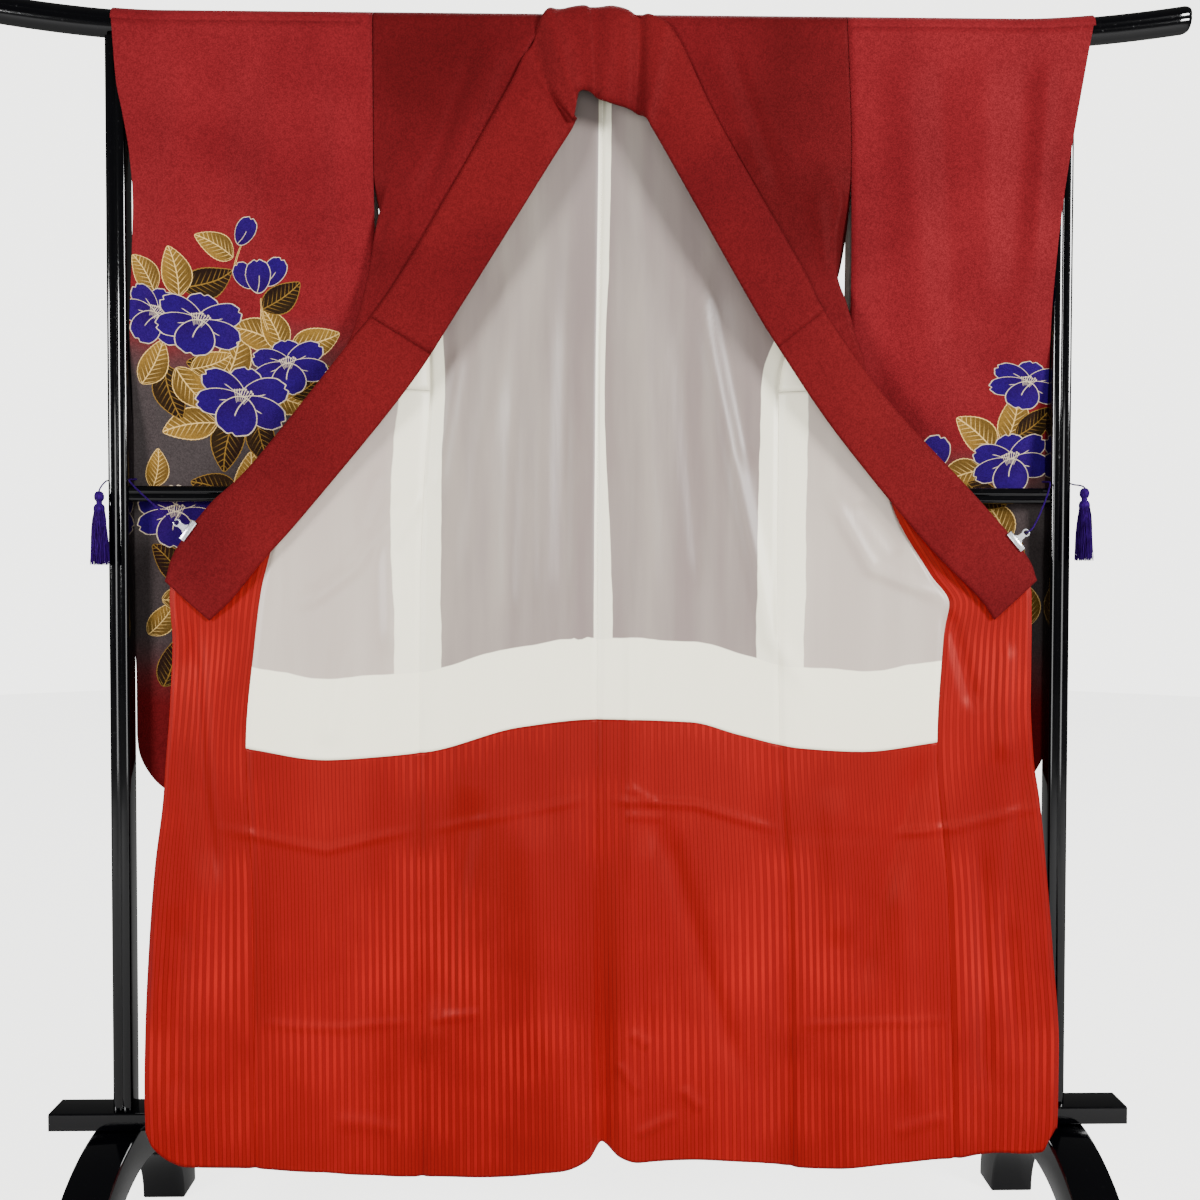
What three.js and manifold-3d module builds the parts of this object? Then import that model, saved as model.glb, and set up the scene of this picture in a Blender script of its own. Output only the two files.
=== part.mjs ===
// Long-sleeve kimono (furisode) opened wide over a lacquer kimono stand.
// Millimetres, +Z up, X across the stand, -Y towards the viewer. The origin is on the floor under the
// middle of the stand. Cloth is built as walls: a middle surface of rows and columns given a thickness.
import * as THREE from "three";
import { mergeVertices } from "three/addons/utils/BufferGeometryUtils.js";
import Module from "manifold-3d";

const wasm = await Module();
wasm.setup();

// ---------------------------------------------------------------- driving dimensions
const CLOTH = 1.2; // outer crepe, thickness
const LINING = 1.0; // lining silk, thickness
const LAYER_STEP = 1.6; // from the middle of the crepe to the middle of its lining
const SEAM_GAP = 0.5; // between two panels that are sewn together
const CONTACT_GAP = 0.3; // between pieces that touch
const DRAPE_EASE = 0.5; // the flat cells of the cloth stand this much higher over the round rail

const RAIL_HALF_LENGTH = 835; // top rail
const RAIL_STRAIGHT = 600; // half of the straight middle of the top rail
const RAIL_TIP_RISE = 23.5; // how far the tips of the top rail turn up
const RAIL_CENTRE_Z = 1727;
const RAIL_HALF_DEPTH = 16;
const RAIL_HALF_HEIGHT = 19;
const POST_X = 658; // centre of each post
const POST_WIDTH = 28;
const POST_DEPTH = 29;
const MIDDLE_RAIL_Z = 1081.5;
const MIDDLE_RAIL_SIZE = 22;
const BOARD_HALF_LENGTH = 757; // base board
const BOARD_DEPTH = 50;
const BOARD_HEIGHT = 25;
const BOARD_BOTTOM = 193;
const FOOT_INNER_X = 631; // arched feet
const FOOT_WIDTH = 64;
const FOOT_HALF_SPAN = 220;
const FOOT_RING = 56;

const DRAPE_FRONT_Z = RAIL_CENTRE_Z; // where the cloth leaves the rail and hangs free
const LINING_TOP = 1698; // the lining begins just under the rail
const ARMHOLE_END = 1529; // sleeves are sewn to the body down to here
const CUFF_END = 1520; // the cuff is open down to here
const CURTAIN_TOP = 1225; // below this the fronts hang as a plain curtain with the inside showing
const SLEEVE_BOTTOM = 652;

// ---------------------------------------------------------------- colours
const material = (color, roughness, metalness = 0) =>
  new THREE.MeshStandardMaterial({ color, roughness, metalness });
const crepe = material("#8f2024", 0.8);
const liningSilk = material("#cfc6c6", 0.6);
const hemSatin = material("#c2261b", 0.45);
const lacquer = material("#0c0b0d", 0.12);
const chrome = material("#c9ccd0", 0.18, 1);
const purpleSilk = material("#37106e", 0.65);

// ---------------------------------------------------------------- curves through short tables
function smoothCurve(at, values) {
  const slope = at.slice(1).map((t, i) => (values[i + 1] - values[i]) / (t - at[i]));
  const last = at.length - 1;
  const tangent = values.map((_, i) => {
    if (i === 0) return slope[0];
    if (i === last) return slope[last - 1];
    const before = slope[i - 1];
    const after = slope[i];
    return before * after <= 0 ? 0 : (2 * before * after) / (before + after);
  });
  return (t) => {
    if (t <= at[0]) return values[0];
    if (t >= at[last]) return values[last];
    let i = 0;
    while (t > at[i + 1]) i += 1;
    const span = at[i + 1] - at[i];
    const u = (t - at[i]) / span;
    const rise = values[i + 1] - values[i];
    return (
      values[i] + span * tangent[i] * u * (1 - u) ** 2 + rise * u * u * (3 - 2 * u) -
      span * tangent[i + 1] * u * u * (1 - u)
    );
  };
}

// Turns a table with named columns into functions of its first column, one for each other column.
function table(names, rows) {
  const sorted = [...rows].sort((a, b) => a[0] - b[0]);
  const at = sorted.map((row) => row[0]);
  const result = {};
  names.slice(1).forEach((name, i) => {
    result[name] = smoothCurve(at, sorted.map((row) => row[i + 1]));
  });
  return result;
}

const mix = (a, b, t) => a + (b - a) * t;
const clamp01 = (t) => Math.min(1, Math.max(0, t));
const ease = (t) => clamp01(t) ** 2 * (3 - 2 * clamp01(t));
const point = (x, y, z) => new THREE.Vector3(x, y, z);
const mixPoint = (a, b, t) => a.clone().lerp(b, t);
const degrees = (angle) => (angle * Math.PI) / 180;

// ---------------------------------------------------------------- cloth walls
// A sheet is a list of rows of points. A row may be shorter than its neighbour: only the columns
// that both rows have are joined.
function sheetFromRows(rows) {
  const points = [];
  const index = rows.map((row) => row.map((p) => points.push(p) - 1));
  const faces = [];
  for (let i = 0; i + 1 < index.length; i += 1) {
    const columns = Math.min(index[i].length, index[i + 1].length);
    for (let j = 0; j + 1 < columns; j += 1) {
      addQuad(points, faces, index[i][j], index[i][j + 1], index[i + 1][j + 1], index[i + 1][j]);
    }
  }
  return { points, faces, index };
}

function addQuad(points, faces, a, b, c, d) {
  if (points[a].distanceTo(points[c]) <= points[b].distanceTo(points[d])) {
    faces.push([a, b, c], [a, c, d]);
  } else {
    faces.push([a, b, d], [b, c, d]);
  }
}

function surfaceNormals({ points, faces }) {
  const normals = points.map(() => point(0, 0, 0));
  for (const face of faces) {
    const [a, b, c] = face.map((i) => points[i]);
    const normal = b.clone().sub(a).cross(c.clone().sub(a)).normalize();
    face.forEach((i, corner) => {
      const here = points[i];
      const next = points[face[(corner + 1) % 3]].clone().sub(here);
      const previous = points[face[(corner + 2) % 3]].clone().sub(here);
      normals[i].addScaledVector(normal, next.angleTo(previous));
    });
  }
  return normals.map((n) => n.normalize());
}

// Gives a sheet a thickness: both faces are moved out along the normals and the rim is closed.
function wall(sheet, thickness) {
  const { points, faces } = sheet;
  const normals = surfaceNormals(sheet);
  const count = points.length;
  const half = thickness / 2;
  const corners = [];
  for (const side of [half, -half]) {
    points.forEach((p, i) => corners.push(p.clone().addScaledVector(normals[i], side)));
  }
  const triangles = [];
  const edges = new Map();
  for (const [a, b, c] of faces) {
    triangles.push([a, b, c], [c + count, b + count, a + count]);
    for (const [p, q] of [[a, b], [b, c], [c, a]]) edges.set(`${p},${q}`, [p, q]);
  }
  for (const [p, q] of edges.values()) {
    if (edges.has(`${q},${p}`)) continue;
    triangles.push([p, p + count, q + count], [p, q + count, q]);
  }
  return closedGeometry(corners, triangles);
}

function closedGeometry(corners, triangles) {
  let volume = 0;
  for (const [a, b, c] of triangles) volume += corners[a].dot(corners[b].clone().cross(corners[c]));
  const ordered = volume >= 0 ? triangles : triangles.map(([a, b, c]) => [c, b, a]);
  const geometry = new THREE.BufferGeometry();
  geometry.setAttribute(
    "position",
    new THREE.Float32BufferAttribute(corners.flatMap((p) => [p.x, p.y, p.z]), 3),
  );
  geometry.setIndex(ordered.flat());
  geometry.computeVertexNormals();
  return geometry;
}

// ---------------------------------------------------------------- joining solids
function solid(geometry) {
  const bare = geometry.index ? geometry.clone() : geometry;
  for (const name of Object.keys(bare.attributes)) {
    if (name !== "position") bare.deleteAttribute(name);
  }
  const merged = mergeVertices(bare, 1e-4);
  return new wasm.Manifold(
    new wasm.Mesh({
      numProp: 3,
      vertProperties: Float32Array.from(merged.attributes.position.array),
      triVerts: Uint32Array.from(merged.index.array),
    }),
  );
}

function joined(geometries) {
  const mesh = geometries.map(solid).reduce((whole, piece) => whole.add(piece)).getMesh();
  const geometry = new THREE.BufferGeometry();
  geometry.setAttribute("position", new THREE.BufferAttribute(mesh.vertProperties, 3));
  geometry.setIndex(new THREE.BufferAttribute(mesh.triVerts, 1));
  geometry.computeVertexNormals();
  return geometry;
}

const model = new THREE.Group();
function add(name, geometry, look) {
  const mesh = new THREE.Mesh(geometry, look.clone());
  mesh.name = name;
  model.add(mesh);
}

// ---------------------------------------------------------------- shared heights and depths
const railRise = (x) => RAIL_TIP_RISE * clamp01((Math.abs(x) - RAIL_STRAIGHT) / 235) ** 1.6;

// Point on the cloth where it lies over the top rail: angle 0 is the front, 180 the back.
function overRail(x, angle, lift = 0) {
  const depth = RAIL_HALF_DEPTH + 3.6 + lift;
  const height = RAIL_HALF_HEIGHT + CONTACT_GAP + DRAPE_EASE + CLOTH / 2 + lift;
  const turn = degrees(angle);
  return point(x, -depth * Math.cos(turn), RAIL_CENTRE_Z + railRise(x) + height * Math.sin(turn));
}

// Depth of the back panel: behind the top rail, in front of the middle rail and of the base board.
const backDepth = table(["z", "y"], [
  [1727, 19.6], [1620, 18.6], [1529, 15.5], [1440, 10], [1340, 2], [1240, -6], [1100, -15.5],
  [935, -25], [760, -33], [520, -40], [218, -45], [140, -47],
]);

// Depth of the front edge of the overlap panels.
const edgeDepth = table(["z", "y"], [
  [1290, -37], [1225, -41], [1174, -44.6], [1123, -47.6], [1063, -51.6], [1002, -55], [960, -57],
  [881, -60], [800, -61], [520, -61], [140, -60],
]);

// Centre back seam, across.
const centreSeam = table(["z", "x"], [
  [1746, 12], [1622, 13], [1214, 7], [769, 6], [520, 8], [182, 13],
]);

// Lower edge of the whole garment, from the left front edge to the right front edge.
const hemLine = table(["x", "z"], [
  [-610, 212], [-600, 190], [-576, 169], [-555, 161], [-461, 157], [-375, 151], [-306, 141],
  [-265, 140], [-114, 140], [-41, 147], [-5, 160], [13, 180], [38, 165], [66, 158], [151, 161],
  [221, 157], [288, 148], [340, 147], [410, 154], [501, 165], [565, 172], [597, 171],
  [622, 174], [630, 190], [640, 206],
]);

// Edge between the pinkish lining and the red hem lining.
const liningEdge = table(["x", "z"], [
  [-472, 733], [-359, 716], [-231, 725], [-101, 759], [6, 770], [135, 766], [204, 748], [287, 730],
  [369, 726], [474, 740],
]);

// Soft vertical folds of the hanging cloth. Depth grows from the upper height to the lower one.
const hangingFolds = [
  { x: -545, width: 38, depth: 5, upper: 900, lower: 450 },
  { x: -400, width: 45, depth: 6, upper: 1100, lower: 500 },
  { x: -305, width: 32, depth: -5, upper: 1000, lower: 500 },
  { x: -150, width: 46, depth: 5, upper: 1250, lower: 600 },
  { x: -55, width: 30, depth: 4, upper: 900, lower: 350 },
  { x: 12, width: 20, depth: -11, upper: 700, lower: 170 },
  { x: 52, width: 24, depth: 6, upper: 950, lower: 500 },
  { x: 170, width: 52, depth: 6, upper: 1250, lower: 500 },
  { x: 262, width: 28, depth: -5, upper: 900, lower: 400 },
  { x: 370, width: 48, depth: 6, upper: 1000, lower: 500 },
  { x: 455, width: 26, depth: -5, upper: 900, lower: 420 },
  { x: 560, width: 40, depth: 6, upper: 900, lower: 420 },
];
function foldDepth(x, z) {
  let y = 0;
  for (const fold of hangingFolds) {
    const grown = ease((fold.upper - z) / (fold.upper - fold.lower));
    y -= fold.depth * grown * Math.exp(-(((x - fold.x) / fold.width) ** 2));
  }
  return y;
}

// ---------------------------------------------------------------- the two halves of the garment
// side: outward direction along X. backEdge: side edge of the back panel. overlapSeam: where the
// front panel meets the overlap panel. frontEdge: outer edge of the overlap panel.
// flap: sections of the upper front panel, from its side edge A over the fold F to the collar seam C.
// turn is the direction in which the cloth leaves the fold: 0 inwards, 90 to the viewer, 180 outwards.
const halves = {
  left: {
    side: -1,
    shoulderCollarX: -45,
    neckX: -17,
    backEdge: table(["z", "x"], [
      [1746, -303], [1529, -302], [1485, -297], [1442, -284], [1390, -256], [1343, -238],
      [1300, -230], [1225, -227], [1101, -234], [934, -239], [140, -235],
    ]),
    overlapSeam: table(["z", "x"], [
      [1290, -327], [1225, -360], [1174, -384], [1110, -408], [1063, -422], [980, -445],
      [948, -452], [880, -460], [733, -472], [525, -464], [140, -461],
    ]),
    frontEdge: table(["z", "x"], [
      [1290, -331], [1225, -370], [1174, -407], [1123, -451], [1063, -511], [1002, -556],
      [972, -569], [940, -572], [881, -568], [800, -571], [719, -577], [664, -581], [571, -592],
      [456, -602], [351, -608], [264, -610], [140, -606],
    ]),
    flap: table(["z", "ay", "fx", "fy", "cx", "cy", "turn"], [
      [1727, -19.6, -200, -19.6, -70, -19.6, 0],
      [1690, -19.8, -210, -21, -91, -21.5, 0],
      [1615, -20, -237, -23, -126, -24, 0],
      [1529, -20, -272, -25, -174, -28, 4],
      [1485, -14, -287, -27, -199, -29.5, 8],
      [1442, -3, -298, -29, -223, -31, 15],
      [1390, 6, -306, -31, -253, -33.5, 20],
      [1343, 2, -316, -33.5, -285, -37, 25],
      [1300, -1.6, -329, -36, -316, -39.5, 35],
      [1277, -3.4, -338, -37.5, -334, -41, 70],
      [1252, -5, -346, -38.5, -349, -42, 130],
      [1225, -7, -340, -33, -358, -37.5, 180],
    ]),
  },
  right: {
    side: 1,
    shoulderCollarX: 45,
    neckX: 29,
    backEdge: table(["z", "x"], [
      [1746, 350], [1554, 357], [1485, 355], [1442, 352], [1390, 344], [1343, 312], [1300, 281],
      [1252, 263], [1225, 260], [1101, 258], [935, 257], [727, 260], [519, 271], [140, 276],
    ]),
    overlapSeam: table(["z", "x"], [
      [1290, 363], [1225, 381], [1174, 389], [1110, 402], [1062, 414], [970, 465], [931, 490],
      [880, 482], [740, 474], [522, 490], [140, 501],
    ]),
    frontEdge: table(["z", "x"], [
      [1290, 372], [1225, 387], [1210, 396], [1140, 450], [1081, 512], [1028, 560], [1000, 581],
      [966, 597], [940, 600], [799, 599], [717, 605], [662, 613], [556, 624], [455, 633],
      [316, 643], [238, 643], [140, 638],
    ]),
    flap: table(["z", "ay", "fx", "fy", "cx", "cy", "turn"], [
      [1727, -19.6, 235, -19.6, 81, -19.6, 0],
      [1690, -19.8, 245, -21, 121, -21.5, 0],
      [1615, -20, 272, -23, 158, -24, 0],
      [1554, -20, 302, -25, 191, -27, 0],
      [1520, -19, 330, -26.5, 210, -28.5, 4],
      [1485, -13, 343, -27.5, 230, -30, 8],
      [1442, -3, 336, -29, 254, -32, 12],
      [1390, 6, 335, -31, 283, -34.5, 18],
      [1343, 2, 349, -33.5, 307, -38, 25],
      [1300, -1.6, 361, -36, 335, -40, 30],
      [1252, -5, 374, -38.5, 369, -42.5, 60],
      [1225, -7, 372, -36, 379, -40, 180],
    ]),
  },
};

// Heights of the rows above the curtain. The last ones are shared, because the side seam joins the
// front and the back there.
const SEWN_ROWS = [1390, 1343, 1300, 1277, 1252];
const FLAP_ROWS = [1690, 1640, 1585, 1529, 1500, 1470, 1430, ...SEWN_ROWS];
const BACK_ROWS = [1690, 1610, 1529, 1455, ...SEWN_ROWS];
const LINING_STEPS = 4; // rows from the top of the curtain to the edge of the hem lining
const HEM_STEPS = 4; // rows from there to the hem

// One section of the front panel above the curtain, seven points from the side edge to the collar.
function flapSection(half, z) {
  const f = half.flap;
  // Above the side seam the free side edge stands a little outside the back panel's edge.
  const free = ease((z - 1277) / 40) * ease((1529 - z) / 25);
  const seam = z < ARMHOLE_END ? SEAM_GAP / 2 : 0;
  const a = point(half.backEdge.x(z) + half.side * (seam + 1.2 * free), f.ay(z), z);
  const fold = point(f.fx(z), f.fy(z), z);
  const c = point(f.cx(z), f.cy(z), z);
  const spread = mix(24, 7, ease((1560 - z) / 60));
  const turn = degrees(f.turn(z));
  const before = Math.min(spread, 0.42 * a.distanceTo(fold));
  const after = Math.min(spread, 0.5 * c.distanceTo(fold));
  const back = a.clone().sub(fold).setLength(before).add(fold);
  const front = fold.clone().add(
    point(-half.side * Math.cos(turn) * after, -Math.sin(turn) * after, 0),
  );
  return [a, mixPoint(a, back, 0.5), back, fold, front, mixPoint(front, c, 0.5), c];
}

// Depth of the curtain outward of the side seam.
function curtainDepth(half, x, z) {
  const seam = half.backEdge.x(z);
  const edge = half.frontEdge.x(z);
  const out = clamp01((x - seam) / (edge - seam));
  return mix(backDepth.y(z), edgeDepth.y(z), out) + foldDepth(x, z);
}

// Height of row v at position x: 0 top of the curtain, 1 edge of the hem lining, 2 hem.
function curtainHeight(x, v) {
  const border = liningEdge.z(x);
  return v <= 1 ? mix(CURTAIN_TOP, border, v) : mix(border, hemLine.z(x), v - 1);
}

// A point of the curtain between two lines that run down it. across is 0 at the first line.
function curtainPoint(half, lineA, lineB, across, v, depth) {
  let x = mix(lineA(700), lineB(700), across);
  let z = curtainHeight(x, v);
  for (let pass = 0; pass < 3; pass += 1) {
    x = mix(lineA(z), lineB(z), across);
    z = curtainHeight(x, v);
  }
  return point(x, depth(x, z), z);
}

const rowSteps = [];
for (let i = 0; i <= LINING_STEPS; i += 1) rowSteps.push(i / LINING_STEPS);
for (let i = 1; i <= HEM_STEPS; i += 1) rowSteps.push(1 + i / HEM_STEPS);

// Panels of one half, as functions of the row v. Each gives a row of points.
function frontRow(half, v) {
  const top = flapSection(half, CURTAIN_TOP);
  const width = top[6].x - top[0].x;
  const sideLine = (z) => half.backEdge.x(z) + half.side * SEAM_GAP / 2;
  const seamLine = (z) => half.overlapSeam.x(z) - half.side * SEAM_GAP / 2;
  return top.map((p, j) => {
    const across = mix((p.x - top[0].x) / width, j / 6, ease(v / 0.7));
    return curtainPoint(half, sideLine, seamLine, across, v, (x, z) => curtainDepth(half, x, z));
  });
}

function backColumns(half) {
  const top = flapSection(half, DRAPE_FRONT_Z).map((p) => p.x);
  top[5] = mix(top[5], half.shoulderCollarX, 0.25);
  top[6] = half.shoulderCollarX;
  const centre = centreSeam.x(1746) + half.side * SEAM_GAP / 2;
  return { top, all: [...top, half.neckX, centre] };
}

function backPoint(half, across, z) {
  const edge = half.backEdge.x(z) - half.side * SEAM_GAP / 2;
  const centre = centreSeam.x(z) + half.side * SEAM_GAP / 2;
  const x = mix(edge, centre, across);
  return point(x, backDepth.y(z) + foldDepth(x, z), z);
}

function backRow(half, fractions, v) {
  const sideLine = (z) => half.backEdge.x(z) - half.side * SEAM_GAP / 2;
  const centreLine = (z) => centreSeam.x(z) + half.side * SEAM_GAP / 2;
  const depth = (x, z) => backDepth.y(z) + foldDepth(x, z);
  return fractions.map((f, j) => {
    const across = mix(f, j / (fractions.length - 1), ease(v / 0.7));
    return curtainPoint(half, sideLine, centreLine, across, v, depth);
  });
}

function bodySheets(half) {
  const { top, all } = backColumns(half);
  const fractions = all.map((x) => (x - all[0]) / (all[8] - all[0]));
  const frontTop = flapSection(half, DRAPE_FRONT_Z);

  const frontRows = rowSteps.map((v) => frontRow(half, v)).reverse();
  const flapRows = FLAP_ROWS.map((z) => flapSection(half, z)).reverse();
  const shoulderRows = [0, 30, 60].map((angle) =>
    frontTop.map((p, j) => overRail(mix(p.x, top[j], angle / 90), angle)));
  const rearRows = [90, 120, 150, 180].map((angle) => all.map((x) => overRail(x, angle)));
  const backUpper = BACK_ROWS.map((z) => fractions.map((f) => backPoint(half, f, z)));
  const backLower = rowSteps.map((v) => backRow(half, fractions, v));
  return {
    outer: [...frontRows, ...flapRows, ...shoulderRows, ...rearRows, ...backUpper, ...backLower],
    frontRows: [...frontRows].reverse(),
    flapRows: [...flapRows].reverse(),
    backUpper,
    backLower,
    fractions,
  };
}

function overlapRow(half, v) {
  const seamLine = (z) => half.overlapSeam.x(z) + half.side * SEAM_GAP / 2;
  const edgeLine = (z) => half.frontEdge.x(z);
  return [0, 0.25, 0.5, 0.75, 1].map((across) =>
    curtainPoint(half, seamLine, edgeLine, across, v, (x, z) => curtainDepth(half, x, z)));
}

const towardsViewer = (rows, step) => rows.map((row) => row.map((p) => point(p.x, p.y - step, p.z)));

for (const [name, half] of Object.entries(halves)) {
  const body = bodySheets(half);
  add(`body_${name}`, wall(sheetFromRows(body.outer), CLOTH), crepe);

  const overlap = rowSteps.map((v) => overlapRow(half, v));
  add(`okumi_${name}`, wall(sheetFromRows(overlap), CLOTH), crepe);

  const topLining = body.fractions.map((f) => backPoint(half, f, LINING_TOP));
  const backLining = [topLining, ...body.backUpper.slice(1), ...body.backLower.slice(0, LINING_STEPS + 1)];
  add(`lining_back_${name}`, wall(sheetFromRows(towardsViewer(backLining, LAYER_STEP)), LINING), liningSilk);

  const sliver = body.flapRows.slice(-2).map((row) => row.slice(0, 2));
  const frontLining = [...sliver, ...body.frontRows.slice(0, LINING_STEPS + 1)];
  add(`lining_front_${name}`, wall(sheetFromRows(towardsViewer(frontLining, LAYER_STEP)), LINING), liningSilk);

  // The red hem lining starts a seam gap below the pinkish one.
  const lower = (rows) => {
    const kept = towardsViewer(rows, LAYER_STEP);
    kept[0] = kept[0].map((p) => point(p.x, p.y, p.z - SEAM_GAP));
    return wall(sheetFromRows(kept), LINING);
  };
  add(`hem_lining_back_${name}`, lower(body.backLower.slice(LINING_STEPS)), hemSatin);
  add(`hem_lining_front_${name}`, lower(body.frontRows.slice(LINING_STEPS)), hemSatin);
  add(`hem_lining_okumi_${name}`, lower(overlap.slice(1)), hemSatin);
}

// ---------------------------------------------------------------- sleeves
// Each sleeve is a long bag over the rail. The cuff is open at the top of the outer edge and the
// whole inner edge is open; below the cuff the outer edge is closed by a narrow strip.
const sleeves = {
  left: {
    side: -1,
    inner: table(["z", "x"], [[1529, -302.8], [1364, -300], [652, -299]]),
    outer: table(["z", "x"], [
      [1746, -661], [1640, -653], [1605, -646], [1546, -636], [1477, -631], [1390, -629],
      [1212, -631], [1074, -636], [905, -637], [820, -632], [735, -627], [652, -618],
    ]),
    returnX: -641,
    folds: [
      { x: -600, width: 26, depth: 5 }, { x: -515, width: 34, depth: -5 },
      { x: -440, width: 30, depth: 6 }, { x: -352, width: 26, depth: -5 },
    ],
  },
  right: {
    side: 1,
    inner: table(["z", "x"], [[1529, 357.6], [1364, 358.5], [652, 356]]),
    outer: table(["z", "x"], [
      [1746, 697], [1588, 669], [1520, 658], [1423, 646], [1340, 638], [1257, 633], [1077, 636],
      [905, 637], [820, 632], [735, 627], [652, 618],
    ]),
    returnX: 641,
    folds: [
      { x: 405, width: 26, depth: -5 }, { x: 470, width: 34, depth: 6 },
      { x: 545, width: 30, depth: -5 }, { x: 605, width: 24, depth: 5 },
    ],
  },
};
const SLEEVE_COLUMNS = 8;
const SLEEVE_HEIGHTS = [
  1690, 1610, 1529, CUFF_END - 30, 1420, 1340, 1240, 1150, 1092, 1060, 930, 790, 700,
];

// The front layer starts in front of the rail and slips back behind the middle rail.
const sleeveFrontDepth = table(["z", "y"], [
  [1727, -19.6], [1529, -20.2], [1440, -20.4], [1380, -19], [1300, -9], [1220, 3], [1150, 14],
  [1100, 18.5], [1000, 19], [652, 19],
]);
const sleeveBackDepth = table(["z", "y"], [
  [1727, 19.6], [1620, 18.6], [1529, 15.5], [1440, 19], [1300, 25], [1100, 33], [652, 36],
]);

function sleeveFold(sleeve, x, z) {
  const grown = ease((1640 - z) / 350);
  return sleeve.folds.reduce(
    (y, fold) => y - fold.depth * grown * 0.7 * Math.exp(-(((x - fold.x) / fold.width) ** 2)), 0);
}

function sleeveSheet(sleeve, half) {
  // Down to the end of the armhole the inner edge follows the edge of the body.
  const innerEdge = (z) =>
    z >= ARMHOLE_END ? half.backEdge.x(z) + sleeve.side * 0.8 : sleeve.inner.x(z);
  const steps = Array.from({ length: SLEEVE_COLUMNS }, (_, j) => j / (SLEEVE_COLUMNS - 1));
  const bottomAt = (s) => SLEEVE_BOTTOM + 34 * ease((s - 0.72) / 0.28);
  const heightAt = (z, s) => z + (bottomAt(s) - SLEEVE_BOTTOM) * ease((960 - z) / 308);
  const row = (z, depth, outerLimit) => steps.map((s) => {
    const height = heightAt(z, s);
    const outer = sleeve.outer.x(height);
    const limited = sleeve.side * Math.min(sleeve.side * outer, outerLimit(height));
    const x = mix(innerEdge(height), limited, s);
    return point(x, depth(x, height), height);
  });
  const noLimit = () => Infinity;
  // Below the cuff the back layer stays on the inner side of the post.
  const behindLimit = (z) => mix(Math.abs(sleeve.returnX), 700, ease((z - 1560) / 90));
  const rail = (angle) => steps.map((s) => {
    const x = mix(innerEdge(DRAPE_FRONT_Z), sleeve.outer.x(1746), s);
    return overRail(x, angle);
  });
  const front = SLEEVE_HEIGHTS.map((z) =>
    row(z, (x, h) => sleeveFrontDepth.y(h) + sleeveFold(sleeve, x, h), noLimit));
  const back = SLEEVE_HEIGHTS.map((z) =>
    row(z, (x, h) => sleeveBackDepth.y(h) + 0.6 * sleeveFold(sleeve, x + 30, h), behindLimit));
  const bottom = row(SLEEVE_BOTTOM, () => 27, noLimit);
  const rows = [
    ...front.reverse(), ...[0, 30, 60, 90, 120, 150, 180].map(rail), ...back,
  ];
  const sheet = sheetFromRows([bottom, ...rows]);
  const { points, faces, index } = sheet;
  // Close the bag along the bottom.
  const lastRow = index[index.length - 1];
  for (let j = 0; j + 1 < SLEEVE_COLUMNS; j += 1) {
    addQuad(points, faces, lastRow[j], lastRow[j + 1], index[0][j + 1], index[0][j]);
  }
  // Close the outer edge from the bottom up to the end of the cuff opening.
  const outerColumn = SLEEVE_COLUMNS - 1;
  const closed = SLEEVE_HEIGHTS.filter((z) => z < CUFF_END).length;
  let below = null;
  for (let k = 0; k < closed; k += 1) {
    const a = index[1 + k][outerColumn];
    const d = index[index.length - 1 - k][outerColumn];
    const p = points[a];
    const q = points[d];
    const fold = point(p.x + sleeve.side * 0.9, p.y + 1.6, p.z);
    const inward = sleeve.side * Math.min(sleeve.side * p.x, Math.abs(sleeve.returnX));
    const wrap = point(inward, mix(p.y + 3.3, q.y, 0.06), p.z);
    const b = points.push(fold) - 1;
    const c = points.push(wrap) - 1;
    const here = [a, b, c, d];
    if (below === null) {
      const tip = index[0][outerColumn];
      faces.push([tip, here[1], here[0]], [tip, here[2], here[1]], [tip, here[3], here[2]]);
    } else {
      for (let j = 0; j < 3; j += 1) {
        addQuad(points, faces, below[j], below[j + 1], here[j + 1], here[j]);
      }
    }
    below = here;
  }
  return sheet;
}

for (const [name, sleeve] of Object.entries(sleeves)) {
  add(`sleeve_${name}`, wall(sleeveSheet(sleeve, halves[name]), CLOTH), crepe);
}

// ---------------------------------------------------------------- collar
// Stations from the left tip round the neck to the right tip: seam edge, free edge.
const collarStations = [
  { seam: [-578, -60.4, 960], free: [-518, -63, 907] },
  { seam: [-564, -58.8, 1002], free: [-487, -62, 937] },
  { seam: [-520, -55.2, 1063], free: [-447, -60, 987] },
  { seam: [-459, -51.2, 1123], free: [-389, -56, 1054] },
  { seam: [-339, -44.4, 1276], free: [-258, -46, 1217] },
  { seam: [-265, -36.6, 1376], free: [-183, -39, 1332] },
  { seam: [-129, -26.4, 1615], free: [-42, -28, 1563] },
  { seam: [-92, -23.8, 1690], free: [-27, -28, 1598] },
  { seam: [-67, -20.2, 1739], free: [-21, -27, 1630] },
  { seam: [-40, -6, 1750], free: [-8, -25, 1634] },
  { seam: [10, 3, 1750.6], free: [10, -25, 1621] },
  { seam: [52, -7.5, 1750], free: [38, -27, 1613] },
  { seam: [86, -21.6, 1736], free: [66, -28, 1602] },
  { seam: [118, -23.4, 1703], free: [82, -28, 1580] },
  { seam: [174, -27, 1588], free: [104, -30, 1541] },
  { seam: [285, -36.4, 1393], free: [209, -39, 1355] },
  { seam: [316, -40.4, 1332], free: [253, -43, 1282] },
  { seam: [404, -46.4, 1210], free: [333, -49, 1163] },
  { seam: [521, -54.6, 1081], free: [450, -58, 1018] },
  { seam: [590, -59.4, 1000], free: [525, -62, 941] },
  { seam: [607, -60.4, 963], free: [548, -63, 909] },
];
const curveThrough = (key) =>
  new THREE.CatmullRomCurve3(collarStations.map((s) => point(...s[key])), false, "catmullrom", 0.5);
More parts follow.
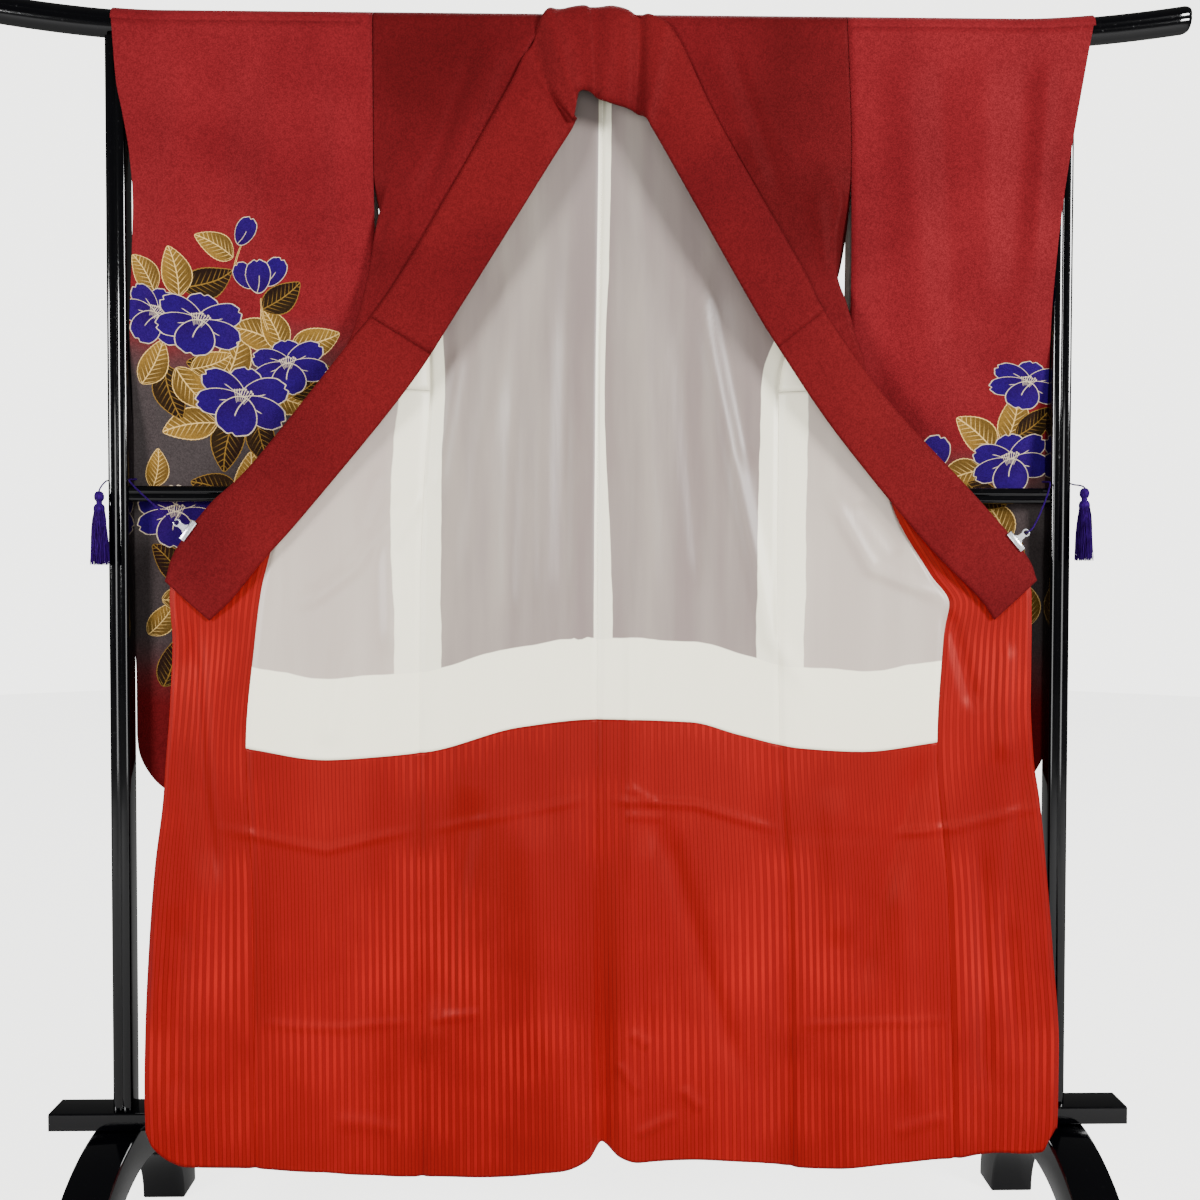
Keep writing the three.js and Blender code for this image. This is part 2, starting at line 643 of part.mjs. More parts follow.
const seamCurve = curveThrough("seam");
const freeCurve = curveThrough("free");
const LAST_STATION = collarStations.length - 1;
const NECK_STATION = 10;
const OVER_COLLAR_FROM = 4.5;
const OVER_COLLAR_TO = 16;

// At the neck the band stands up over the rail and falls forward; along the fronts it lies flat.
function collarBase(station, across) {
  const t = clamp01(station / LAST_STATION);
  const seam = seamCurve.getPoint(t);
  const free = freeCurve.getPoint(t);
  const neck = ease(1 - Math.abs(station - NECK_STATION) / 3.2);
  const control = mixPoint(seam, free, 0.5);
  control.y -= 3 + 15 * neck;
  control.z += 86 * neck;
  const p = seam.multiplyScalar((1 - across) ** 2);
  return p.addScaledVector(control, 2 * across * (1 - across)).addScaledVector(free, across ** 2);
}

// The same band, raised from its own surface by lift.
function collarPoint(station, across, lift = 0) {
  const base = collarBase(station, across);
  const along = collarBase(station + 0.02, across).sub(collarBase(station - 0.02, across));
  const inward = collarBase(station, across + 0.01).sub(collarBase(station, across - 0.01));
  return base.addScaledVector(inward.cross(along).normalize(), lift);
}

function collarSheet(from, to, perStation, lift) {
  const count = Math.round((to - from) * perStation);
  const rows = Array.from({ length: count + 1 }, (_, i) => mix(from, to, i / count));
  return sheetFromRows(rows.map((station) =>
    [0, 0.22, 0.48, 0.74, 1].map((across) => collarPoint(station, across, lift))));
}
add("collar", wall(collarSheet(0, LAST_STATION, 2, 0), CLOTH), crepe);
add("over_collar", wall(collarSheet(OVER_COLLAR_FROM, OVER_COLLAR_TO, 2, 2.2), CLOTH), crepe);

// ---------------------------------------------------------------- stand
// Section of a bar with rounded corners and a shallow groove on its front and back.
function groovedSection(width, height, corner, grooveDepth, grooveHalf) {
  const w = width / 2;
  const h = height / 2;
  const shape = new THREE.Shape();
  shape.moveTo(-w + corner, -h);
  shape.lineTo(-grooveHalf, -h).lineTo(0, -h + grooveDepth).lineTo(grooveHalf, -h);
  shape.lineTo(w - corner, -h).absarc(w - corner, -h + corner, corner, -Math.PI / 2, 0, false);
  shape.lineTo(w, h - corner).absarc(w - corner, h - corner, corner, 0, Math.PI / 2, false);
  shape.lineTo(grooveHalf, h).lineTo(0, h - grooveDepth).lineTo(-grooveHalf, h);
  shape.lineTo(-w + corner, h).absarc(-w + corner, h - corner, corner, Math.PI / 2, Math.PI, false);
  shape.lineTo(-w, -h + corner).absarc(-w + corner, -h + corner, corner, Math.PI, Math.PI * 1.5, false);
  return shape;
}

function bar(shape, length, options = {}) {
  return new THREE.ExtrudeGeometry(shape, {
    depth: length, bevelEnabled: false, curveSegments: 3, ...options,
  });
}

// Top rail: an oval bar with a groove front and back, its tips turned up.
function topRail() {
  const around = 16;
  const section = Array.from({ length: around }, (_, i) => {
    const angle = (i / around) * Math.PI * 2;
    const groove = i % 8 === 0 ? 0.92 : 1;
    return [RAIL_HALF_DEPTH * groove * Math.cos(angle), RAIL_HALF_HEIGHT * Math.sin(angle)];
  });
  const ends = [600, 660, 720, 780, 829, RAIL_HALF_LENGTH];
  const stations = [...ends.map((x) => -x).reverse(), ...ends];
  const corners = [];
  stations.forEach((x) => {
    const tip = Math.abs(x) === RAIL_HALF_LENGTH ? 0.86 : 1;
    section.forEach(([y, z]) => corners.push(point(x, y * tip, RAIL_CENTRE_Z + railRise(x) + z * tip)));
  });
  const triangles = [];
  const at = (i, j) => i * around + (j % around);
  for (let i = 0; i + 1 < stations.length; i += 1) {
    for (let j = 0; j < around; j += 1) {
      triangles.push([at(i, j), at(i + 1, j), at(i + 1, j + 1)], [at(i, j), at(i + 1, j + 1), at(i, j + 1)]);
    }
  }
  [0, stations.length - 1].forEach((i) => {
    for (let j = 1; j + 1 < around; j += 1) {
      triangles.push(i === 0 ? [at(i, 0), at(i, j), at(i, j + 1)] : [at(i, 0), at(i, j + 1), at(i, j)]);
    }
  });
  return closedGeometry(corners, triangles);
}
add("top_rail", topRail(), lacquer);

const boardTop = BOARD_BOTTOM + BOARD_HEIGHT;
const innerFace = POST_X - POST_WIDTH / 2;
// The rail already turns up over the posts, so they end a little above its straight underside.
const postTop = RAIL_CENTRE_Z - RAIL_HALF_HEIGHT + railRise(innerFace) - CONTACT_GAP;

for (const [name, side] of [["left", -1], ["right", 1]]) {
  const shape = groovedSection(POST_WIDTH, POST_DEPTH, 4, 1.6, 3);
  const from = boardTop + CONTACT_GAP;
  const post = bar(shape, postTop - from);
  post.translate(side * POST_X, 0, from);
  add(`post_${name}`, post, lacquer);

  // Arched foot: half a ring standing on its two ends.
  const outerHeight = BOARD_BOTTOM - CONTACT_GAP;
  const arch = new THREE.Shape();
  arch.moveTo(-FOOT_HALF_SPAN, 0);
  arch.lineTo(-FOOT_HALF_SPAN + FOOT_RING, 0);
  const steps = 14;
  for (let i = 1; i < steps; i += 1) {
    const angle = Math.PI * (1 - i / steps);
    arch.lineTo(
      (FOOT_HALF_SPAN - FOOT_RING) * Math.cos(angle),
      (outerHeight - FOOT_RING) * Math.sin(angle),
    );
  }
  arch.lineTo(FOOT_HALF_SPAN - FOOT_RING, 0).lineTo(FOOT_HALF_SPAN, 0);
  for (let i = 1; i < steps; i += 1) {
    const angle = (Math.PI * i) / steps;
    arch.lineTo(FOOT_HALF_SPAN * Math.cos(angle), outerHeight * Math.sin(angle));
  }
  const foot = bar(arch, FOOT_WIDTH);
  foot.rotateX(Math.PI / 2).rotateZ(Math.PI / 2);
  foot.translate(side > 0 ? FOOT_INNER_X : -FOOT_INNER_X - FOOT_WIDTH, 0, 0);
  add(`foot_${name}`, foot, lacquer);
}

// Bars that run along X.
function crossBar(shape, halfLength, z) {
  const geometry = bar(shape, 2 * halfLength);
  geometry.rotateY(Math.PI / 2).translate(-halfLength, 0, z);
  return geometry;
}
add(
  "middle_rail",
  crossBar(groovedSection(MIDDLE_RAIL_SIZE, MIDDLE_RAIL_SIZE, 5, 1.4, 2.6),
    innerFace - CONTACT_GAP, MIDDLE_RAIL_Z),
  lacquer,
);
add(
  "base_board",
  crossBar(groovedSection(BOARD_HEIGHT, BOARD_DEPTH, 3, 0.4, 1), BOARD_HALF_LENGTH,
    BOARD_BOTTOM + BOARD_HEIGHT / 2),
  lacquer,
);

// ---------------------------------------------------------------- clips, cords and tassels
// A clip grips the seam edge of the collar. Local axes: x outward from the edge, y along the edge,
// z towards the viewer.
const CLIP_LENGTH = 30;
const CLIP_RING_X = 19;
function clipFrame(station) {
  const origin = seamCurve.getPoint(station / LAST_STATION);
  const along = seamCurve.getTangent(station / LAST_STATION).normalize();
  const inward = collarPoint(station, 0.3, 0).sub(collarPoint(station, 0, 0));
  const outward = inward.negate().projectOnPlane(along).normalize();
  const normal = outward.clone().cross(along);
  if (normal.y > 0) {
    along.negate();
    normal.negate();
  }
  return new THREE.Matrix4().makeBasis(outward, along, normal).setPosition(origin);
}
function box(x0, x1, y0, y1, z0, z1) {
  const geometry = new THREE.BoxGeometry(x1 - x0, y1 - y0, z1 - z0);
  return geometry.translate((x0 + x1) / 2, (y0 + y1) / 2, (z0 + z1) / 2);
}
function clip(frame) {
  const l = CLIP_LENGTH / 2;
  const grip = box(-4.2, 3.5, -l, l, 1.5, 3.6);
  const backGrip = box(-4.2, 3.5, -l, l, -3.6, -1.5);
  const spine = box(1.4, 3.5, -l, l, -3.6, 3.6);
  const handleShape = new THREE.Shape();
  handleShape.moveTo(3, -7).lineTo(9, -3.4).lineTo(16, -3).lineTo(16, 3).lineTo(9, 3.4).lineTo(3, 7);
  const handle = bar(handleShape, 2.4);
  handle.translate(0, 0, -1.2);
  const ring = new THREE.TorusGeometry(4.2, 1.2, 6, 14);
  ring.translate(CLIP_RING_X, 0, 0);
  return joined([grip, backGrip, spine, handle, ring]).applyMatrix4(frame);
}

function cord(points, radius, steps) {
  const path = new THREE.CatmullRomCurve3(points, false, "centripetal");
  const shape = new THREE.Shape();
  for (let i = 0; i < 5; i += 1) {
    const angle = (i / 5) * Math.PI * 2;
    const x = radius * Math.cos(angle);
    const y = radius * Math.sin(angle);
    if (i === 0) shape.moveTo(x, y);
    else shape.lineTo(x, y);
  }
  return new THREE.ExtrudeGeometry(shape, { steps, bevelEnabled: false, extrudePath: path });
}

// A strand: a three-sided tapering rod that bends outward from the head.
function strand(angle, root, tip, drop, radius) {
  const corners = [];
  const levels = [0, 0.35, 1];
  levels.forEach((t) => {
    const out = mix(root, tip, t ** 0.6);
    const centre = point(out * Math.cos(angle), out * Math.sin(angle), -drop * t);
    for (let i = 0; i < 3; i += 1) {
      const around = angle + (i / 3) * Math.PI * 2;
      corners.push(centre.clone().add(point(radius * Math.cos(around), radius * Math.sin(around), 0)));
    }
  });
  const triangles = [[0, 1, 2], [8, 7, 6]];
  for (let i = 0; i + 1 < levels.length; i += 1) {
    for (let j = 0; j < 3; j += 1) {
      const [a, b] = [i * 3 + j, i * 3 + ((j + 1) % 3)];
      triangles.push([a, a + 3, b + 3], [a, b + 3, b]);
    }
  }
  return closedGeometry(corners, triangles);
}

const STRANDS = 20;
function tassel(centre, length) {
  const profile = [[0, 9], [4.5, 7.5], [6.5, 3], [6.2, -1.5], [3.6, -5], [3.6, -8], [6.8, -10],
    [7.4, -15], [7, -19], [0, -19]].map(([r, z]) => new THREE.Vector2(r, z));
  const head = new THREE.LatheGeometry(profile.reverse(), 8).rotateX(Math.PI / 2);
  const strands = Array.from({ length: STRANDS }, (_, i) => {
    const outer = i % 2 === 0;
    const angle = (i / STRANDS) * Math.PI * 2;
    const drop = length - 26 - ((i * 7) % 5);
    const piece = strand(angle, outer ? 5.4 : 3, outer ? 10.6 : 6.2, drop, outer ? 1.5 : 1.4);
    return piece.translate(0, 0, -17);
  });
  return joined([head, ...strands]).translate(centre.x, centre.y, centre.z);
}

const hardware = {
  left: { station: 1.45, side: -1, head: point(-677, -30, 1074) },
  right: { station: 18.75, side: 1, head: point(684, -30, 1082) },
};
for (const [name, { station, side, head }] of Object.entries(hardware)) {
  const frame = clipFrame(station);
  add(`clip_${name}`, clip(frame), chrome);
  const ring = (x, z) => point(x, 0, z).applyMatrix4(frame);
  const out = side * innerFace;
  const cordPath = [
    ring(CLIP_RING_X, -4),
    ring(CLIP_RING_X, 0.5),
    ring(CLIP_RING_X + 1.5, 5),
    ring(CLIP_RING_X + 9, 6),
    point(out - side * 2.4, -15, 1099),
    point(out - side * 2.2, 4, 1102),
    point(out - side * 1.8, 14.5, 1103),
    point(out + side * 3, 18, 1104),
    point(side * POST_X, 18.4, 1104),
    point(side * (POST_X + 14), 16.5, 1103),
    point(side * (POST_X + 16.6), 0, 1100),
    point(side * (POST_X + 16), -16, 1097),
    point(head.x, head.y, head.z + 9.8),
  ];
  add(`cord_${name}`, cord(cordPath, 1.1, 30), purpleSilk);
  add(`tassel_${name}`, tassel(head, 98), purpleSilk);
}

export default model;
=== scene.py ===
"""Long-sleeve kimono opened wide over a lacquer kimono stand: its cloth, stand, clips and finishes.

Lengths in the tables are millimetres, as a maker would note them, and MM turns them into metres.
X runs across the stand, -Y is the side that the open fronts face, and Z is up.
"""

import logging
import math
from collections.abc import Callable, Sequence
from dataclasses import dataclass
from enum import Enum
from types import SimpleNamespace

import bmesh
import bpy
from mathutils import Matrix, Vector

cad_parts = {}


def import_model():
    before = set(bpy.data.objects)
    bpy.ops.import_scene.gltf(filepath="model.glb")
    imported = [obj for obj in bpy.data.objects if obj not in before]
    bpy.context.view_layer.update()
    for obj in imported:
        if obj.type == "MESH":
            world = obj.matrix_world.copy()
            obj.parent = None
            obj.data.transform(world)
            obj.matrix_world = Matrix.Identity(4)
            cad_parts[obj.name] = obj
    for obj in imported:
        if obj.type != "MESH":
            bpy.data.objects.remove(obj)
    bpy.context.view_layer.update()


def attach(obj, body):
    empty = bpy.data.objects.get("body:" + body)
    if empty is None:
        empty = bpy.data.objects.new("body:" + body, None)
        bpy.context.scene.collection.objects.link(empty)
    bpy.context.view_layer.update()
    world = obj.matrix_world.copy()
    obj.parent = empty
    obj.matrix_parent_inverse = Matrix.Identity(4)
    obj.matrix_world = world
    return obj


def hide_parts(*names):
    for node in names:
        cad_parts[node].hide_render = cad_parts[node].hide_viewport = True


log = logging.getLogger("furisode")

Mesh = bmesh.types.BMesh
Piece = bpy.types.Object
Material = bpy.types.Material
Socket = bpy.types.NodeSocket
Tree = bpy.types.NodeTree

MM = 0.001
CLOTH = 1.2  # outer crepe, thickness
LINING = 1.0  # lining silk, thickness
LAYER_STEP = 1.6  # from the middle of the crepe to the middle of its lining
SEAM_GAP = 0.12  # between two panels that are sewn together
RED_REACH = 1.0002  # the red back panels nearly meet, so the white behind them is hidden
CONTACT_GAP = 0.3  # between pieces that touch
PUFF = 2.6  # how far a lining stands off its seams
PUFF_REACH = 5.5  # how far from the seam it gets there
DRAPE_EASE = 0.5  # how much higher than the rail's own round the cloth runs over it

RAIL_STRAIGHT = 600
RAIL_TIP_RISE = 23.5
RAIL_TIP_LENGTH = 235
RAIL_CENTRE_Z = 1727
RAIL_HALF_DEPTH = 16
RAIL_HALF_HEIGHT = 19
ARMHOLE_END = 1529
CUFF_END = 1520
CURTAIN_TOP = 1225
LINING_TOP = 1698
SLEEVE_BOTTOM = 652
RIDGE_Z = 1746  # top of the cloth where it lies over the rail
MERGE = 0.0001  # metres, within which the rows that two grids share are merged
POST_X = 658
POST_WIDTH = 28


# ---- small mathematics
def mix(a: float, b: float, t: float) -> float:
    """Returns the value a part t of the way from a to b."""
    return a + (b - a) * t


def clamp(t: float) -> float:
    """Returns t held between 0 and 1."""
    return min(1.0, max(0.0, t))


def ease(t: float) -> float:
    """Returns a soft step from 0 to 1 as t goes from 0 to 1."""
    held = clamp(t)
    return held * held * (3 - 2 * held)


def steps(count: int, start: float = 0.0, end: float = 1.0) -> list[float]:
    """Returns count + 1 evenly spaced values from start to end."""
    return [mix(start, end, i / count) for i in range(count + 1)]


def seam_steps(count: int) -> list[float]:
    """Returns count + 1 values from 0 to 1 that lie closer together towards both ends."""
    return [mix(t, (1 - math.cos(math.pi * t)) / 2, 0.75) for t in steps(count)]


class Curve:
    """A smooth function through a short table that never overshoots its values."""

    def __init__(self, at: Sequence[float], values: Sequence[float]) -> None:
        """Prepares the slopes.

        Args:
            at: Positions in rising order.
            values: The value at each position.
        """
        self.at = at
        self.values = values
        slope = [(values[i + 1] - values[i]) / (at[i + 1] - at[i]) for i in range(len(at) - 1)]
        inner = [0.0 if a * b <= 0 else 2 * a * b / (a + b) for a, b in zip(slope, slope[1:])]
        self.tangents = [slope[0], *inner, slope[-1]]

    def __call__(self, t: float) -> float:
        """Returns the value at position t."""
        at, values, tangents = self.at, self.values, self.tangents
        if t <= at[0]:
            return values[0]
        if t >= at[-1]:
            return values[-1]
        i = 0
        while t > at[i + 1]:
            i += 1
        span = at[i + 1] - at[i]
        u = (t - at[i]) / span
        rise = values[i + 1] - values[i]
        return (
            values[i]
            + span * tangents[i] * u * (1 - u) ** 2
            + rise * u * u * (3 - 2 * u)
            - span * tangents[i + 1] * u * u * (1 - u)
        )


def table(names: str, *rows: Sequence[float]) -> SimpleNamespace:
    """Turns a table into functions of its first column.

    Args:
        names: The column names, the first being the position.
        rows: The rows, in any order.

    Returns:
        A namespace with one Curve for each further column.
    """
    ordered = sorted(rows)
    at = [row[0] for row in ordered]
    columns = enumerate(names.split()[1:], 1)
    return SimpleNamespace(**{name: Curve(at, [row[i] for row in ordered]) for i, name in columns})


class Spline:
    """A Catmull-Rom curve through points, with even or centripetal spacing."""

    def __init__(self, points: Sequence[Vector], centripetal: bool = False) -> None:
        """Keeps the points and the spacing rule."""
        self.points = [Vector(p) for p in points]
        self.centripetal = centripetal

    def at(self, t: float) -> Vector:
        """Returns the point at t, which runs from 0 to 1 along the curve."""
        points = self.points
        place = (len(points) - 1) * clamp(t)
        i = min(int(place), len(points) - 2)
        u = place - i
        p1, p2 = points[i], points[i + 1]
        p0 = points[i - 1] if i > 0 else p1 * 2 - p2
        p3 = points[i + 2] if i + 2 < len(points) else p2 * 2 - p1
        if self.centripetal:
            d0, d1, d2 = ((b - a).length ** 0.5 for a, b in ((p0, p1), (p1, p2), (p2, p3)))
            d1 = max(d1, 1e-4)
            d0, d2 = max(d0, 1e-4), max(d2, 1e-4)
            m1 = ((p1 - p0) / d0 - (p2 - p0) / (d0 + d1) + (p2 - p1) / d1) * d1
            m2 = ((p2 - p1) / d1 - (p3 - p1) / (d1 + d2) + (p3 - p2) / d2) * d1
        else:
            m1, m2 = (p2 - p0) * 0.5, (p3 - p1) * 0.5
        a = p1 * 2 - p2 * 2 + m1 + m2
        b = p2 * 3 - p1 * 3 - m1 * 2 - m2
        return a * u**3 + b * u**2 + m1 * u + p1

    def tangent(self, t: float) -> Vector:
        """Returns the unit direction of the curve at t."""
        return (self.at(t + 0.0001) - self.at(t - 0.0001)).normalized()


# ---- how the cloth hangs
@dataclass(frozen=True)
class Fold:
    """A soft vertical fold that grows from an upper height to a lower one."""

    x: float
    width: float
    depth: float
    upper: float
    lower: float

    def rise(self, x: float, z: float) -> float:
        """Returns how far the fold stands out at a point of the panel."""
        off = (x - self.x) / self.width
        if abs(off) > 3:
            return 0.0
        grown = ease((self.upper - z) / (self.upper - self.lower))
        return self.depth * grown * math.exp(-off * off)


class Crease:
    """A soft crease along a line of points (x, z), fading towards both its ends."""

    def __init__(self, width: float, depth: float, *points: tuple[float, float]) -> None:
        """Measures the line and the box that the crease can reach.

        Args:
            width: Half width of the crease.
            depth: How far it stands forward, or back if negative.
            points: The points of its line.
        """
        self.width, self.depth, self.points = width, depth, points
        self.runs = [math.dist(a, b) for a, b in zip(points, points[1:])]
        self.length = sum(self.runs)
        self.low = [min(point[i] for point in points) - 3 * width for i in (0, 1)]
        self.high = [max(point[i] for point in points) + 3 * width for i in (0, 1)]

    def rise(self, x: float, z: float) -> float:
        """Returns how far the crease stands forward at a point of the panel."""
        if not (self.low[0] < x < self.high[0] and self.low[1] < z < self.high[1]):
            return 0.0
        nearest, at, before = math.inf, 0.0, 0.0
        for (x0, z0), (x1, z1), run in zip(self.points, self.points[1:], self.runs):
            t = clamp(((x - x0) * (x1 - x0) + (z - z0) * (z1 - z0)) / run**2)
            away = math.hypot(x - mix(x0, x1, t), z - mix(z0, z1, t))
            if away < nearest:
                nearest, at = away, before + t * run
            before += run
        taper = ease(5 * min(at, self.length - at) / self.length + 0.1)
        return self.depth * taper * math.exp(-((nearest / self.width) ** 2))


def creases(*rows: tuple) -> tuple[Crease, ...]:
    """Makes a crease of each row of a table: width, depth and the points of its line."""
    return tuple(Crease(*row) for row in rows)


HANGING_FOLDS = (
    Fold(-400, 45, 5, 1100, 500),
    Fold(-305, 32, -5, 1000, 500),
    Fold(-150, 46, 4, 700, 300),
    Fold(-40, 26, 4, 900, 350),
    Fold(14, 17, -12, 760, 260),
    Fold(52, 24, 5, 950, 500),
    Fold(185, 52, 4, 800, 400),
    Fold(262, 20, -4, 900, 400),
    Fold(505, 20, 4, 800, 500),
)
HANGING_CREASES = creases(
    # Drag lines of the upper part, from the collar down to the sides.
    (14, 6.0, (133, 1451), (193, 1141), (246, 884), (311, 793)),
    (16, -4.9, (172, 1366), (221, 1107)),
    (11, 4.9, (322, 1090), (384, 979), (488, 935)),
    (12, -3.5, (366, 1073), (427, 996)),
    (11, 4.6, (-183, 1295), (-216, 1072)),
    (12, 5.1, (-227, 1106), (-280, 1003), (-278, 849)),
    (11, 4.6, (-252, 1089), (-329, 977), (-406, 917)),
    (20, 4.9, (-99, 1424), (-154, 1140), (-174, 918)),
    (14, -4.3, (-108, 1261), (-120, 892)),
    (13, 3.8, (-65, 1364), (-69, 892)),
    (11, -3.2, (-37, 1450), (-40, 892)),
    (16, 3.5, (64, 1408), (84, 883)),
    (12, -3.8, (116, 1340), (152, 935)),
    # Long waves of the lower part.
    (15, -9.5, (-548, 909), (-533, 679), (-515, 533)),
    (14, -5.7, (-563, 524), (-568, 231)),
    (12, 4.9, (-591, 807), (-589, 335)),
    (22, -7.0, (-167, 678), (-192, 523), (-218, 333)),
    (26, 5.9, (-90, 652), (-72, 280)),
    (14, 5.1, (75, 626), (85, 331)),
    (17, -6.8, (91, 643), (156, 418), (209, 260)),
    (16, -5.9, (457, 729), (398, 521), (369, 382)),
    (18, 4.6, (332, 677), (342, 452)),
    (16, 4.9, (424, 573), (444, 224)),
    (11, -5.7, (536, 607), (544, 241)),
    (15, -5.4, (600, 763), (572, 485), (587, 293)),
    (12, -5.7, (486, 927), (526, 781)),
    (12, 4.9, (564, 884), (561, 711)),
    (14, 3.5, (-336, 884), (-363, 730)),
)
# Press folds and small creases of the linings alone.
LINING_CREASES = creases(
    (5.5, 1.4, (60, 1141), (61, 780)),
    (5.5, -2.0, (91, 1544), (77, 1382)),
    (7, 2.5, (-293, 1114), (-320, 1029)),
    (5.5, 2.1, (-516, 627), (-363, 593), (-239, 620)),
    (5.5, 1.4, (-231, 616), (-4, 661)),
    (5.5, 2.5, (18, 659), (142, 652), (261, 615)),
    (5.5, -1.7, (272, 610), (406, 609)),
    (5.5, 2.4, (406, 611), (497, 623), (615, 654)),
    (5.5, 2.2, (48, 678), (91, 652)),
    (5.5, 1.7, (44, 639), (99, 633)),
    (6, 1.7, (-458, 358), (-338, 347), (-240, 354)),
    (6, 2.5, (-227, 355), (-154, 367)),
    (6, 1.5, (282, 346), (499, 357)),
    (5.5, 2.1, (50, 910), (53, 522)),
    (7, 3.1, (53, 340), (79, 318)),
    (7, 3.1, (122, 261), (152, 230)),
    (7, 2.8, (57, 196), (118, 222)),
    (7, 2.2, (35, 296), (66, 253)),
    (10, 2.5, (-356, 221), (-262, 203)),
    (8, 2.2, (413, 198), (492, 223)),
)


def hanging_relief(x: float, z: float) -> float:
    """Returns how far the hanging cloth stands back (+) or forward (-) in its folds and creases."""
    forward = sum(fold.rise(x, z) for fold in HANGING_FOLDS)
    forward += sum(crease.rise(x, z) for crease in HANGING_CREASES)
    return -forward


def off_seams(u: float, width: float) -> Vector:
    """Returns how far a lining stands forward between the seams at its two sides.

    Args:
        u: 0 at one seam, 1 at the other.
        width: The panel's width in millimetres.

    Returns:
        The move in millimetres, none at the seams themselves.
    """
    near = min(u, 1 - u) * width
    return Vector((0, -PUFF * (1 - math.exp(-((near / PUFF_REACH) ** 2))), 0))


def rail_rise(x: float) -> float:
    """Returns how far the top rail has turned up at x."""
    return RAIL_TIP_RISE * clamp((abs(x) - RAIL_STRAIGHT) / RAIL_TIP_LENGTH) ** 1.6


def over_rail(x: float, angle: float) -> Vector:
    """Returns a point of the cloth over the top rail: angle 0 is its front, 180 its back."""
    depth = RAIL_HALF_DEPTH + 3.6
    height = RAIL_HALF_HEIGHT + CONTACT_GAP + DRAPE_EASE + CLOTH / 2
    turn = math.radians(angle)
    return Vector(
        (x, -depth * math.cos(turn), RAIL_CENTRE_Z + rail_rise(x) + height * math.sin(turn))
    )


BACK_DEPTH = table(
    "z y",
    (1727, 19.6), (1620, 18.6), (1529, 15.5), (1440, 10), (1340, 2), (1240, -6), (1100, -15.5),
    (935, -25), (760, -33), (520, -40), (218, -45), (140, -47),
)
EDGE_DEPTH = table(
    "z y",
    (1290, -37), (1225, -41), (1174, -44.6), (1123, -47.6), (1063, -51.6), (1002, -55),
    (960, -57), (881, -60), (800, -61), (520, -61), (140, -60),
)
CENTRE_SEAM = table("z x", (1746, 12), (1622, 13), (1214, 7), (769, 6), (520, 8), (182, 13))
HEM_LINE = table(
    "x z",
    (-610, 212), (-600, 190), (-576, 169), (-555, 161), (-461, 157), (-375, 151), (-306, 141),
    (-265, 140), (-114, 140), (-41, 147), (-5, 160), (13, 180), (38, 165), (66, 158), (151, 161),
    (221, 157), (288, 148), (340, 147), (410, 154), (501, 165), (565, 172), (597, 171),
    (622, 174), (630, 190), (640, 206),
)
LINING_EDGE = table(
    "x z",
    (-472, 733), (-359, 716), (-231, 725), (-101, 759), (6, 770), (135, 766), (204, 748),
    (287, 730), (369, 726), (474, 740),
)


@dataclass(frozen=True)
class Half:
    """One half of the garment. side is its outward direction along X.

    The flap table gives the upper front panel in plan: its side edge's depth, its fold, its collar
    seam and the turn of the cloth at the fold, 0 inwards, 90 forward and 180 outwards.
    """

    name: str
    side: int
    shoulder_collar_x: float
    back_edge: SimpleNamespace
    overlap_seam: SimpleNamespace
    front_edge: SimpleNamespace
    flap: SimpleNamespace


LEFT = Half(
    "left", -1, -45,
    table(
        "z x",
        (1746, -303), (1529, -302), (1485, -297), (1442, -284), (1390, -256), (1343, -238),
        (1300, -230), (1225, -227), (1101, -234), (934, -239), (140, -235),
    ),
    table(
        "z x",
        (1290, -327), (1225, -360), (1174, -384), (1110, -408), (1063, -422), (980, -445),
        (948, -452), (880, -460), (733, -472), (525, -464), (140, -461),
    ),
    table(
        "z x",
        (1290, -331), (1225, -370), (1174, -407), (1123, -451), (1063, -511), (1002, -556),
        (972, -569), (940, -572), (881, -568), (800, -571), (719, -577), (664, -581), (571, -592),
        (456, -602), (351, -608), (264, -610), (140, -606),
    ),
    table(
        "z ay fx fy cx cy turn",
        (1727, -19.6, -200, -19.6, -70, -19.6, 0), (1690, -19.8, -210, -21, -91, -21.5, 0),
        (1615, -20, -237, -23, -126, -24, 0), (1529, -20, -272, -25, -174, -28, 4),
        (1485, -14, -287, -27, -199, -29.5, 8), (1442, -3, -298, -29, -223, -31, 15),
        (1390, 6, -306, -31, -253, -33.5, 20), (1343, 2, -316, -33.5, -285, -37, 25),
        (1300, -1.6, -329, -36, -316, -39.5, 35), (1277, -3.4, -338, -37.5, -334, -41, 70),
        (1252, -5, -346, -38.5, -349, -42, 130), (1225, -7, -340, -33, -358, -37.5, 180),
    ),
)
